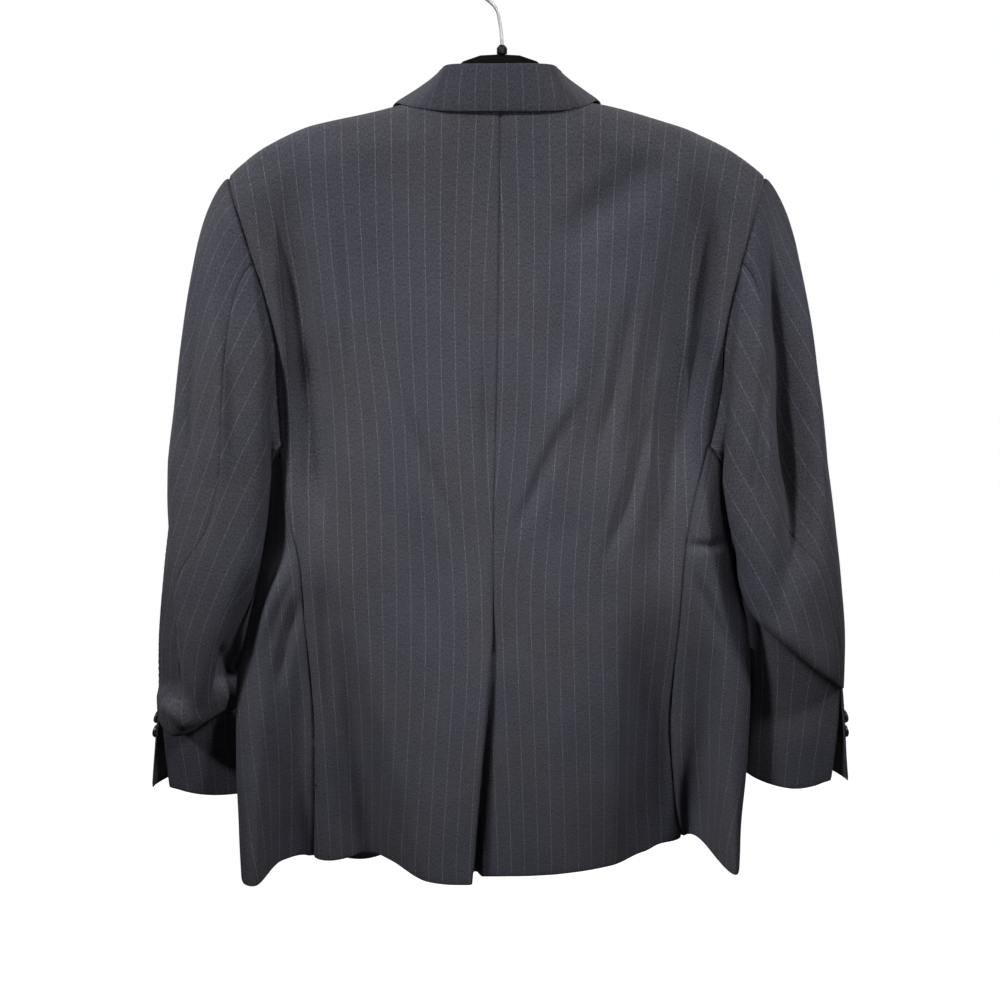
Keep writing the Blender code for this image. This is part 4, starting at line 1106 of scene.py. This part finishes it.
def collar_section(station):
    """The collar's section, from the neck seam over to its edge."""
    half = abs(station)
    seam, fold, edge = (
        Vector([COLLAR.at(axis + letter, half) for axis in "xyz"]) for letter in "skg"
    )
    out = Vector((edge.x - seam.x, edge.y - seam.y, 0.0))
    if out.length < 0.004:
        out = Vector((fold.x, max(fold.y, 0.01), 0.0))
    out = out.normalized() * COLLAR_FOLD
    drop = Vector((0, 0, COLLAR_FOLD))
    section = [
        seam,
        (seam + fold - out - drop) / 2,
        fold - out - drop,
        fold,
        fold + out - drop,
        (edge + fold + out - drop) / 2 + out * 0.6,
        edge,
    ]
    if station > 0:
        uneven = hump((half - 0.60) / 0.35)
        edge.x += COLLAR_LEFT_REACH * uneven
        edge.z -= COLLAR_LEFT_DROP * uneven
    sign = math.copysign(1, station)
    return [Vector((sign * p.x, p.y, p.z)) for p in section]


def collar_panel():
    sections = [
        collar_section(mix(-1, 1, k / COLLAR_COLUMNS)) for k in range(COLLAR_COLUMNS + 1)
    ]
    keys = list(range(7))
    parts = steps(0, 6, 6 * COLLAR_ROWS) + [6] + [6 - gap / 0.02 for gap in NEAR_EDGE]
    points = [
        [
            Vector([smooth_at(keys, [p[axis] for p in section], part) for axis in range(3)])
            for section in sections
        ]
        for part in tidy_stations(parts)
    ]
    marks = lengths_along(points[-1])
    centre = len(marks) // 2
    down = lengths_along([line[centre] for line in points])
    grain = [[(mark - marks[centre] + COLLAR_STRIPE, low) for mark in marks] for low in down]
    centres = [Vector((0, 0, -0.16))] * len(points)
    edges = {"low": TURNED_EDGE, "first": TURNED_EDGE, "last": TURNED_EDGE}
    return Panel("collar", points, centres, grain, [], edges)


LAPEL = Table("t width", [
    (78, 66), (100, 76), (200, 62), (320, 43), (420, 20), (468, 6),
])
LAPEL_ROWS = 90
LAPEL_COLUMNS = 26
LAPEL_ROLL = (0.0, 0.25, 0.5, 0.75)      # parts of the half turn at the roll line
LAPEL_STEP = 0.01        # share of the front used to find which way it faces


def lapel_panel(side):
    """The turned-back part of a front, rolled over the front's edge."""
    shares = columns(LAPEL_COLUMNS, LAPEL_WIDTH)
    points = []
    for t in [mix(LAPEL.keys[0], LAPEL.keys[-1], k / LAPEL_ROWS) for k in range(LAPEL_ROWS + 1)]:
        x_in, x_out = (abs(p.x) for p in front_row(side, (0.0, 1.0), t))
        places = [share * LAPEL.at("width", t) / (x_out - x_in) for share in shares]
        line = front_row(side, places, t)
        beside = front_row(side, [u + LAPEL_STEP for u in places], t)
        below = front_row(side, places, t + LAPEL_STEP)
        outs = []
        for point, across, down in zip(line, beside, below):
            out = (across - point).cross(down - point).normalized()
            outs.append(-out if out.y > 0 else out)
        inwards = (line[0] - line[1]).normalized()
        row = [
            line[0] + outs[0] * LAY_ON / 2 * (1 - math.cos(math.pi * part))
            + inwards * LAY_ON / 2 * math.sin(math.pi * part)
            for part in LAPEL_ROLL
        ]
        points.append(row + [point + out * LAY_ON for point, out in zip(line, outs)])
    edges = {"top": TURNED_EDGE, "last": TURNED_EDGE}
    return body_panel("lapel", side, points, across_grain(points, 0.0), edges)


# ---------------------------------------------------------------- pocket flaps
FLAP_TOP, FLAP_LOW = 0.655, 0.733         # shares of the length
FLAP_FRONT, FLAP_FRONT_STEPS = (0.46, 0.90), 26          # places across the front
FLAP_SIDE, FLAP_SIDE_STEPS = (1.00, 0.74), 12            # and on round the side body
FLAP_ROWS = 14
FLAP_FLARE = {LEFT: 0.000, RIGHT: 0.009}  # the rear end stands off the side


def flap_panel(side):
    """A hip pocket's flap, lying on the front and round the side."""
    front = [mix(*FLAP_FRONT, k / FLAP_FRONT_STEPS) for k in range(FLAP_FRONT_STEPS + 1)]
    rear = [mix(*FLAP_SIDE, k / FLAP_SIDE_STEPS) for k in range(FLAP_SIDE_STEPS + 1)]
    points = []
    for t in [mix(FLAP_TOP, FLAP_LOW, k / FLAP_ROWS) for k in range(FLAP_ROWS + 1)]:
        path = front_row(side, front, t) + side_row(side, rear, t)
        line = []
        for k, point in enumerate(path):
            ahead = path[min(k + 1, len(path) - 1)] - path[max(k - 1, 0)]
            out = Vector((ahead.y, -ahead.x, 0)).normalized() * side
            flare = FLAP_FLARE[side] * max(0.0, k / (len(path) - 1) * 3 - 2)
            line.append(point + out * (LAY_ON + flare))
        points.append(line)
    edges = {"low": TURNED_EDGE, "first": TURNED_EDGE, "last": TURNED_EDGE, "top": SEAM}
    return body_panel("pocket_flap", side, points, across_grain(points, 0.004), edges)


# ---------------------------------------------------------------- finishes
class Sketch:
    """Short ways to add and join the nodes of one tree."""

    def __init__(self, tree):
        self.tree = tree

    def put(self, target, value):
        if isinstance(value, bpy.types.NodeSocket):
            self.tree.links.new(value, target)
        else:
            target.default_value = value

    def math(self, operation, *values):
        node = self.tree.nodes.new("ShaderNodeMath")
        node.operation = operation
        for socket, value in zip(node.inputs, values):
            self.put(socket, value)
        return node.outputs[0]

    def noise(self, place, stretch, detail=2.0, roughness=0.5):
        """Noise over a place, drawn out or packed along each axis."""
        packed = self.tree.nodes.new("ShaderNodeMapping")
        self.put(packed.inputs["Vector"], place)
        packed.inputs["Scale"].default_value = stretch
        node = self.tree.nodes.new("ShaderNodeTexNoise")
        self.put(node.inputs["Vector"], packed.outputs["Vector"])
        node.inputs["Scale"].default_value = 1.0
        node.inputs["Detail"].default_value = detail
        node.inputs["Roughness"].default_value = roughness
        return node.outputs["Fac"]

    def ramp(self, value, low, high, to_low=0.0, to_high=1.0, smooth=True):
        node = self.tree.nodes.new("ShaderNodeMapRange")
        node.interpolation_type = "SMOOTHSTEP" if smooth else "LINEAR"
        self.put(node.inputs["Value"], value)
        for label, number in (
            ("From Min", low), ("From Max", high), ("To Min", to_low), ("To Max", to_high),
        ):
            self.put(node.inputs[label], number)
        return node.outputs["Result"]

    def blend(self, share, first, second, mode="MIX"):
        """Mix two colours, each a socket or three numbers."""
        node = self.tree.nodes.new("ShaderNodeMix")
        node.data_type = "RGBA"
        node.blend_type = mode
        self.put(node.inputs[0], share)
        for socket, color in zip((node.inputs[6], node.inputs[7]), (first, second)):
            self.put(socket, (*color, 1) if isinstance(color, tuple) else color)
        return node.outputs[2]

    def axes(self, vector):
        node = self.tree.nodes.new("ShaderNodeSeparateXYZ")
        self.put(node.inputs[0], vector)
        return node.outputs


class Finish(Sketch):
    """A material in the making."""

    def __init__(self, name):
        self.material, tree, self.shader = new_material(name)
        super().__init__(tree)

    def place(self):
        return self.tree.nodes.new("ShaderNodeTexCoord").outputs["Object"]

    def grain(self):
        node = self.tree.nodes.new("ShaderNodeUVMap")
        node.uv_map = "grain"
        return node.outputs["UV"]

    def done(self, color, roughness, height, strength, distance, **constants):
        """Join colour, roughness and bump to the shader; the rest are constants."""
        self.put(self.shader.inputs["Base Color"], color)
        self.put(self.shader.inputs["Roughness"], roughness)
        node = self.tree.nodes.new("ShaderNodeBump")
        node.inputs["Strength"].default_value = strength
        node.inputs["Distance"].default_value = distance
        self.put(node.inputs["Height"], height)
        self.put(self.shader.inputs["Normal"], node.outputs["Normal"])
        for label, value in constants.items():
            self.shader.inputs[label.replace("_", " ")].default_value = value
        return self.material


STRIPE_HALF, STRIPE_CORE = 0.00060, 0.00012  # a stripe fades out between these
STRIPE_WANDER = 0.0009
WARP, WEFT, WEAVE_DEPTH = 0.00055, 0.00060, 0.35


def worsted_group():
    """Pinstriped worsted: stripes, thread flecks and a soft heather."""
    group = bpy.data.node_groups.new("pinstriped_worsted", "ShaderNodeTree")
    for label, kind, way in (
        ("Grain", "Vector", "INPUT"), ("Ground", "Color", "INPUT"), ("Stripe", "Color", "INPUT"),
        ("Color", "Color", "OUTPUT"), ("Height", "Float", "OUTPUT"),
        ("Roughness", "Float", "OUTPUT"),
    ):
        group.interface.new_socket(name=label, in_out=way, socket_type="NodeSocket" + kind)
    given = group.nodes.new("NodeGroupInput").outputs
    result = group.nodes.new("NodeGroupOutput").inputs
    s = Sketch(group)
    grain = given["Grain"]
    across, along, _ = s.axes(grain)
    wander = s.math("SUBTRACT", s.noise(grain, (60, 25, 1)), 0.5)
    wander = s.math("MULTIPLY", wander, STRIPE_WANDER)
    turns = s.math("DIVIDE", s.math("ADD", across, wander), STRIPE_PITCH)
    off = s.math("SUBTRACT", s.math("FRACT", s.math("ADD", turns, 0.5)), 0.5)
    off = s.math("MULTIPLY", s.math("ABSOLUTE", off), STRIPE_PITCH)
    line = s.ramp(off, STRIPE_HALF, STRIPE_CORE)
    broken = s.ramp(s.noise(grain, (90, 420, 1)), 0.30, 0.62, 0.35, 1.0)
    stripe = s.math("MULTIPLY", line, broken)
    fleck = s.noise(grain, (980, 460, 1), 2.0, 0.6)
    slub = s.noise(grain, (110, 800, 1))
    heather = s.noise(grain, (22, 14, 1), 3.0, 0.6)
    tint = s.noise(grain, (9, 6, 1))
    light = s.ramp(fleck, 0.25, 0.75, 0.45, 1.55, False)
    light = s.math("ADD", light, s.ramp(slub, 0.25, 0.75, -0.12, 0.12, False))
    light = s.math("ADD", light, s.ramp(heather, 0.3, 0.7, -0.07, 0.07, False))
    cool = s.blend(s.ramp(tint, 0.35, 0.65), (0.97, 0.99, 1.05), (1.03, 1.005, 0.965))
    ground = s.blend(1.0, given["Ground"], cool, "MULTIPLY")
    shade = group.nodes.new("ShaderNodeVectorMath")
    shade.operation = "SCALE"
    s.put(shade.inputs[0], s.blend(stripe, ground, given["Stripe"]))
    s.put(shade.inputs["Scale"], light)
    warp = s.math("SINE", s.math("MULTIPLY", across, 2 * math.pi / WARP))
    weft = s.math("SINE", s.math("MULTIPLY", along, 2 * math.pi / WEFT))
    weave = s.math("MULTIPLY", s.math("MULTIPLY", warp, weft), WEAVE_DEPTH)
    height = s.math("ADD", weave, s.math("ADD", fleck, s.math("MULTIPLY", stripe, 0.5)))
    s.put(result["Color"], shade.outputs[0])
    s.put(result["Height"], height)
    s.put(result["Roughness"], s.ramp(slub, 0.2, 0.8, 0.82, 0.96, False))
    return group


WORSTED = worsted_group()
GROUND, STRIPE = (0.046, 0.046, 0.056), (0.088, 0.090, 0.106)
HOLE = (0.2012, -0.8310)     # x and z of a small hole beside the left side seam, painted black as shade seen through it
HOLE_RADIUS, HOLE_FRAY = 0.0012, 0.0006


def worsted(name, hole=None):
    s = Finish(name)
    cloth = s.tree.nodes.new("ShaderNodeGroup")
    cloth.node_tree = WORSTED
    s.put(cloth.inputs["Ground"], (*GROUND, 1))
    s.put(cloth.inputs["Stripe"], (*STRIPE, 1))
    s.put(cloth.inputs["Grain"], s.grain())
    color = cloth.outputs["Color"]
    # The hole is not cut: a near-black spot with a frayed rim is painted into the colour, as
    # painted shade for the dark seen through the hole.
    if hole:
        place = s.place()
        x, _, z = s.axes(place)
        aside, below = s.math("SUBTRACT", x, hole[0]), s.math("SUBTRACT", z, hole[1])
        away = s.math("ADD", s.math("MULTIPLY", aside, aside), s.math("MULTIPLY", below, below))
        fray = s.math("MULTIPLY", s.noise(place, (900, 900, 900)), HOLE_FRAY)
        away = s.math("ADD", s.math("POWER", away, 0.5), fray)
        hole_painted_shade = s.ramp(away, HOLE_RADIUS * 1.5, HOLE_RADIUS)
        color = s.blend(hole_painted_shade, color, (0.001, 0.001, 0.001))
    return s.done(
        color, cloth.outputs["Roughness"], cloth.outputs["Height"], 0.12, 0.0003,
        Specular_IOR_Level=0.06, Sheen_Weight=0.015, Sheen_Roughness=0.5,
        Sheen_Tint=(0.75, 0.78, 0.9, 1),
    )


def lining_finish():
    """The plain dark inside of the cloth."""
    s = Finish("dark_inside")
    twill = s.noise(s.grain(), (500, 1500, 1))
    tone = s.blend(s.ramp(twill, 0.3, 0.7), (0.012, 0.012, 0.015), (0.026, 0.026, 0.031))
    return s.done(tone, 0.6, twill, 0.15, 0.0002)


def horn_finish():
    """Dark polished horn with paler clouds."""
    s = Finish("dark_horn")
    place = s.place()
    cloud = s.noise(place, (160, 160, 260), 4.0, 0.6)
    fibre = s.noise(place, (1400, 500, 300))
    tone = s.blend(s.ramp(cloud, 0.35, 0.70), (0.010, 0.010, 0.012), (0.050, 0.048, 0.052))
    tone = s.blend(s.ramp(fibre, 0.3, 0.8, 0.0, 0.35), tone, (0.075, 0.072, 0.070))
    return s.done(tone, s.ramp(fibre, 0.2, 0.8, 0.26, 0.44), fibre, 0.08, 0.0001)


def thread_finish():
    s = Finish("charcoal_thread")
    twist = s.noise(s.place(), (2600, 2600, 2600))
    tone = s.blend(s.ramp(twist, 0.3, 0.7), (0.022, 0.022, 0.026), (0.060, 0.060, 0.070))
    return s.done(tone, 0.8, twist, 0.4, 0.0001)


def wire_finish():
    """Bright steel wire with fine drawing lines and faint rubbing."""
    s = Finish("bright_wire")
    place = s.place()
    drawn = s.noise(place, (2200, 2200, 400))
    rub = s.noise(place, (90, 90, 90), 3.0, 0.6)
    tone = s.blend(s.ramp(rub, 0.35, 0.7), (0.72, 0.72, 0.74), (0.86, 0.86, 0.88))
    return s.done(tone, s.ramp(rub, 0.3, 0.7, 0.36, 0.52), drawn, 0.06, 0.0001, Metallic=0.35)


def flock_finish():
    """Short black flock: a matt nap with a faint bloom."""
    s = Finish("black_flock")
    place = s.place()
    nap = s.noise(place, (1800, 1800, 1800), 2.0, 0.7)
    brushed = s.noise(place, (60, 60, 90), 3.0, 0.6)
    tone = s.blend(s.ramp(nap, 0.3, 0.7), (0.002, 0.002, 0.002), (0.010, 0.010, 0.011))
    tone = s.blend(s.ramp(brushed, 0.35, 0.75, 0.0, 0.4), tone, (0.012, 0.012, 0.013))
    return s.done(
        tone, s.ramp(brushed, 0.3, 0.7, 0.88, 0.98), nap, 0.5, 0.0002,
        Sheen_Weight=0.03, Sheen_Roughness=0.4, Specular_IOR_Level=0.05,
    )


def plastic_finish():
    """Black moulded plastic, a little worn."""
    s = Finish("black_plastic")
    place = s.place()
    grain = s.noise(place, (900, 900, 900), 3.0, 0.6)
    worn = s.noise(place, (140, 140, 140), 3.0, 0.6)
    tone = s.blend(s.ramp(worn, 0.4, 0.75), (0.002, 0.002, 0.0025), (0.006, 0.006, 0.0065))
    return s.done(tone, s.ramp(worn, 0.3, 0.7, 0.34, 0.55), grain, 0.12, 0.0001)


WOOL = worsted("charcoal_worsted")
# Cloth for the two pieces beside the hole, carrying the hole's painted shade.
HOLE_SHADE_WOOL = worsted("charcoal_worsted_hole_shade", HOLE)
HOLED = ("back_left", "side_left")       # the seam beside the hole joins these
LINING, HORN, THREAD = lining_finish(), horn_finish(), thread_finish()


# ---------------------------------------------------------------- making the jacket
def make_cloth():
    panels = {}
    sleeves = []
    for side in (LEFT, RIGHT):
        body = back_panel(side), side_panel(side), front_panel(side)
        under, top, hindarm, forearm = sleeve_panels(side)
        for panel in (*body, under, top, lapel_panel(side), flap_panel(side)):
            panels[panel.name] = panel
        sleeves.append((body, under, top, hindarm, forearm))
    panels["collar"] = collar_panel()

    def sew():
        for sleeve in sleeves:
            sew_body(*sleeve[0])
            sew_sleeve(*sleeve)
        sew_centre_back(panels["back_left"], panels["back_right"])

    sew()
    for work in (Panel.lay_creases, Panel.press_edges):
        for panel in panels.values():
            work(panel)
            panel.face_out()
        sew()
    pieces = {}
    for name, panel in panels.items():
        panel.draw_in()
        piece = panel.build(HOLE_SHADE_WOOL if name in HOLED else WOOL, LINING)
        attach(piece, "root")
        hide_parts(name)
        pieces[name] = piece
    return panels, pieces


panels, pieces = make_cloth()


# ---------------------------------------------------------------- working by hand
def alone(piece):
    bpy.ops.object.select_all(action="DESELECT")
    piece.select_set(True)
    bpy.context.view_layer.objects.active = piece


def cylinder(vertices, radius, depth, location=(0, 0, 0), rotation=(0, 0, 0)):
    bpy.ops.mesh.primitive_cylinder_add(
        vertices=vertices, radius=radius, depth=depth, location=location, rotation=rotation)
    return bpy.context.object


def pick_faces(piece, wanted):
    """Select the faces that a test picks, in edit mode."""
    bpy.ops.object.mode_set(mode="EDIT")
    bpy.ops.mesh.select_mode(type="FACE")
    mesh = bmesh.from_edit_mesh(piece.data)
    for face in mesh.faces:
        face.select = bool(wanted(face))
    mesh.select_flush_mode()
    bmesh.update_edit_mesh(piece.data)


def grow(move):
    """Extrude the picked faces along a move."""
    bpy.ops.mesh.extrude_region_move(TRANSFORM_OT_translate={"value": move})


def done_editing():
    bpy.ops.object.mode_set(mode="OBJECT")


def add_modifier(piece, kind, **values):
    alone(piece)
    modifier = piece.modifiers.new(kind.lower(), kind)
    for key, value in values.items():
        setattr(modifier, key, value)
    bpy.ops.object.modifier_apply(modifier=modifier.name)


def bevel(piece, width, segments, angle):
    """Round every edge sharper than an angle in degrees."""
    add_modifier(piece, "BEVEL", width=width, segments=segments, limit_method="ANGLE",
                 angle_limit=math.radians(angle))


def settle(piece, name, material, node):
    """Finish a piece: its place in its mesh, its name, its finish; hide the part it stands for.
    """
    alone(piece)
    bpy.ops.object.transform_apply(location=True, rotation=True, scale=True)
    bpy.ops.object.shade_smooth_by_angle(angle=math.radians(38))
    piece.name = name
    if material:
        piece.data.materials.clear()
        piece.data.materials.append(material)
    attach(piece, "root")
    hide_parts(node)


def join(parts):
    alone(parts[0])
    for part in parts:
        part.select_set(True)
    bpy.ops.object.join()
    return parts[0]


# ---------------------------------------------------------------- buttons
# Radius, thickness, gap to the cloth, the cloth they are sewn to and their nodes.
BUTTONS = [(0.0100, 0.0034, 0.0003, [("front_left", "front_button_%d")]),
           (0.0075, 0.0034, 0.0006, [("sleeve_top_left", "cuff_button_left_%d"),
                                     ("sleeve_top_right", "cuff_button_right_%d")])]
# Rings inset one after another, as a share of the radius, each then moved up or down
# by a share of the thickness: a raised rim and a dished middle, and a dished back.
BUTTON_FACE = [(0.10, 0.18), (0.14, 0.0), (0.10, -0.22)]
BUTTON_BACK = [(0.20, 0.0), (0.12, 0.10)]
HOLE_SPREAD, HOLE_SIZE = 0.20, 0.105                     # shares of the radius
STRAND_SIZE, STRAND_APART, STRAND_SINK = 0.042, 0.045, 0.55


def dish(disc, up, rings, radius, thickness):
    pick_faces(disc, lambda f: f.normal.z * up > 0.9)
    for inset, move in rings:
        bpy.ops.mesh.inset(thickness=radius * inset)
        bpy.ops.transform.translate(value=(0, 0, thickness * move))
    done_editing()


def make_button(radius, thickness):
    """A four-hole button lying flat, its face up, with its paired thread."""
    disc = cylinder(40, radius, thickness * 0.82)
    disc.data.transform(Matrix.Translation((0, 0, -thickness * 0.09)))
    dish(disc, 1, BUTTON_FACE, radius, thickness)
    dish(disc, -1, BUTTON_BACK, radius, thickness)
    bevel(disc, thickness * 0.09, 3, 20)
    spread = radius * HOLE_SPREAD
    drill = join([
        cylinder(16, radius * HOLE_SIZE, thickness * 3, (x, y, 0))
        for x in (-spread, spread) for y in (-spread, spread)
    ])
    add_modifier(disc, "BOOLEAN", operation="DIFFERENCE", object=drill, solver="EXACT")
    bpy.data.objects.remove(drill)
    disc.data.materials.append(HORN)
    strands = []
    for y in (-spread, spread):
        for lay in (-STRAND_APART, STRAND_APART):
            strand = cylinder(
                10, radius * STRAND_SIZE, spread * 2,
                (0, y + lay * radius, thickness * 0.28 + radius * 0.05), (0, math.pi / 2, 0))
            for end in (-1, 1):
                pick_faces(strand, lambda f: f.normal.z * end > 0.9)
                grow((radius * 0.03 * end, 0, -thickness * STRAND_SINK))
                done_editing()
            strands.append(strand)
    sewn = join(strands)
    sewn.data.materials.append(THREAD)
    button = join([disc, sewn])
    alone(button)
    bpy.ops.object.transform_apply(location=True, rotation=True, scale=True)
    return button


def seat_on(button, panel, node, thickness, gap):
    """Copy a button onto the cloth nearest the node's middle, facing out."""
    low, high = (Vector(corner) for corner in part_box(node))
    middle = (low + high) / 2
    place, out = min(
        (pair for line in zip(panel.points, panel.normals) for pair in zip(*line)),
        key=lambda pair: (pair[0] - middle).length)
    copy = add_object(node, button.data.copy())
    turn = out.to_track_quat("Z", "Y").to_matrix().to_4x4()
    seat = place + out * (WALL / 2 + gap + thickness / 2)
    copy.data.transform(Matrix.Translation(seat) @ turn)
    settle(copy, node + "_horn", None, node)


def make_buttons():
    for radius, thickness, gap, places in BUTTONS:
        button = make_button(radius, thickness)
        for cloth, nodes in places:
            for number in (1, 2):
                seat_on(button, panels[cloth], nodes % number, thickness, gap)
        bpy.data.objects.remove(button)


# ---------------------------------------------------------------- hanger
KNOB_X, KNOB_TOP, KNOB_LOW, KNOB_RADIUS = -0.0018, -0.0750, -0.0830, 0.0048
KNOB_NECK, KNOB_STEP = 0.30, 0.0003      # share of its height that tapers, its step
WIRE, HOOK_RADIUS = 0.0016, 0.0216
HOOK_CENTRE = (0.0, -0.0200)
HOOK_STEM = [(-0.0018, -0.0747), (-0.0015, -0.0690), (-0.0012, -0.0640), (-0.0003, -0.0580),
             (0.0009, -0.0520), (0.0022, -0.0450), (0.0080, -0.0388)]
HOOK_ARC, HOOK_STEPS = (-42, 205), 40
FRAME_HALF, FRAME_HEIGHT, FRAME_TAPER = 0.0028, 0.0160, 0.55
FRAME_NECK = [(0.000, -0.0833), (0.018, -0.0842), (0.034, -0.0893), (0.046, -0.0990),
              (0.058, -0.1125), (0.072, -0.1270)]
FRAME_END, FRAME_CLEARANCE = 0.84, 0.0026
TOUCHING = 1e-5


def make_hook():
    """Bend the wire: a straight stem, a small kick and the round hook."""
    path = list(HOOK_STEM)
    for k in range(1, HOOK_STEPS + 1):
        angle = math.radians(mix(*HOOK_ARC, k / HOOK_STEPS))
        path.append((HOOK_CENTRE[0] + HOOK_RADIUS * math.cos(angle),
                     HOOK_CENTRE[1] + HOOK_RADIUS * math.sin(angle)))
    bpy.ops.curve.primitive_nurbs_path_add()
    wire = bpy.context.object
    wire.data.splines.clear()
    spline = wire.data.splines.new("NURBS")
    spline.points.add(len(path) - 1)
    for point, (x, z) in zip(spline.points, path):
        point.co = (x, 0.0, z, 1.0)
    spline.order_u, spline.use_endpoint_u, spline.resolution_u = 4, True, 3
    wire.data.bevel_depth, wire.data.bevel_resolution = WIRE, 5
    wire.data.use_fill_caps = True
    alone(wire)
    bpy.ops.object.convert(target="MESH")
    wire = bpy.context.object
    bevel(wire, 0.0005, 3, 50)
    settle(wire, "hook_bright_wire", wire_finish(), "hanger_hook")


def make_knob():
    """A short round knob that tapers to the wire."""
    height = KNOB_TOP - KNOB_LOW
    knob = cylinder(40, KNOB_RADIUS, height, (KNOB_X, 0, (KNOB_TOP + KNOB_LOW) / 2))
    pick_faces(knob, lambda f: f.normal.z > 0.9)
    bpy.ops.transform.translate(value=(0, 0, -height * KNOB_NECK))
    for rise, narrowing in ((KNOB_STEP, 0.88), (height * KNOB_NECK - KNOB_STEP, 0.52)):
        grow((0, 0, rise))
        bpy.ops.transform.resize(
            value=(narrowing, narrowing, 1), center_override=(KNOB_X, 0, KNOB_TOP))
    done_editing()
    bevel(knob, 0.00035, 3, 30)
    settle(knob, "knob_black_plastic", plastic_finish(), "hanger_knob")


def frame_path():
    """Top line of one hanger arm, from the neck out under the shoulder."""
    path = list(FRAME_NECK)
    tip = BACK_EDGE[RIGHT].at("x", Z_TIP)
    for k in range(1, 7):
        share = mix(NECK_SHARE, FRAME_END, k / 6)
        top = min(top_edge(LEFT, share), top_edge(RIGHT, share))
        path.append((share * tip, top - FRAME_CLEARANCE))
    return path


def make_frame():
    """Draw one arm out from the neck, mirror it and round its edges."""
    path = frame_path()
    z0, (x1, z1) = path[0][1], path[1]
    bpy.ops.mesh.primitive_cube_add(
        size=1, location=(x1 / 2, 0, z0 - FRAME_HEIGHT / 2),
        scale=(x1, 2 * FRAME_HALF, FRAME_HEIGHT))
    arm = bpy.context.object
    bpy.ops.object.transform_apply(location=True, rotation=True, scale=True)
    for vert in arm.data.vertices:
        if vert.co.x > x1 / 2:
            vert.co.z += z1 - z0
    bend, end = FRAME_NECK[-1][0], path[-1][0]
    height = FRAME_HEIGHT
    for (xa, za), (xb, zb) in zip(path[1:], path[2:]):
        pick_faces(
            arm, lambda f: f.normal.x > 0.9 and f.calc_center_median().x > xa - TOUCHING)
        grow((xb - xa, 0, zb - za))
        grown = FRAME_HEIGHT * mix(1.0, FRAME_TAPER, clamp((xb - bend) / (end - bend)))
        bpy.ops.transform.resize(value=(1, 1, grown / height), center_override=(xb, 0, zb))
        height = grown
        done_editing()
    pick_faces(arm, lambda f: f.normal.x < -0.9 and f.calc_center_median().x < TOUCHING)
    bpy.ops.mesh.delete(type="FACE")
    done_editing()
    add_modifier(arm, "MIRROR", use_clip=True)
    bevel(arm, 0.0011, 4, 50)
    settle(arm, "frame_black_flock", flock_finish(), "hanger_frame")


make_buttons()
make_frame()
make_knob()
make_hook()
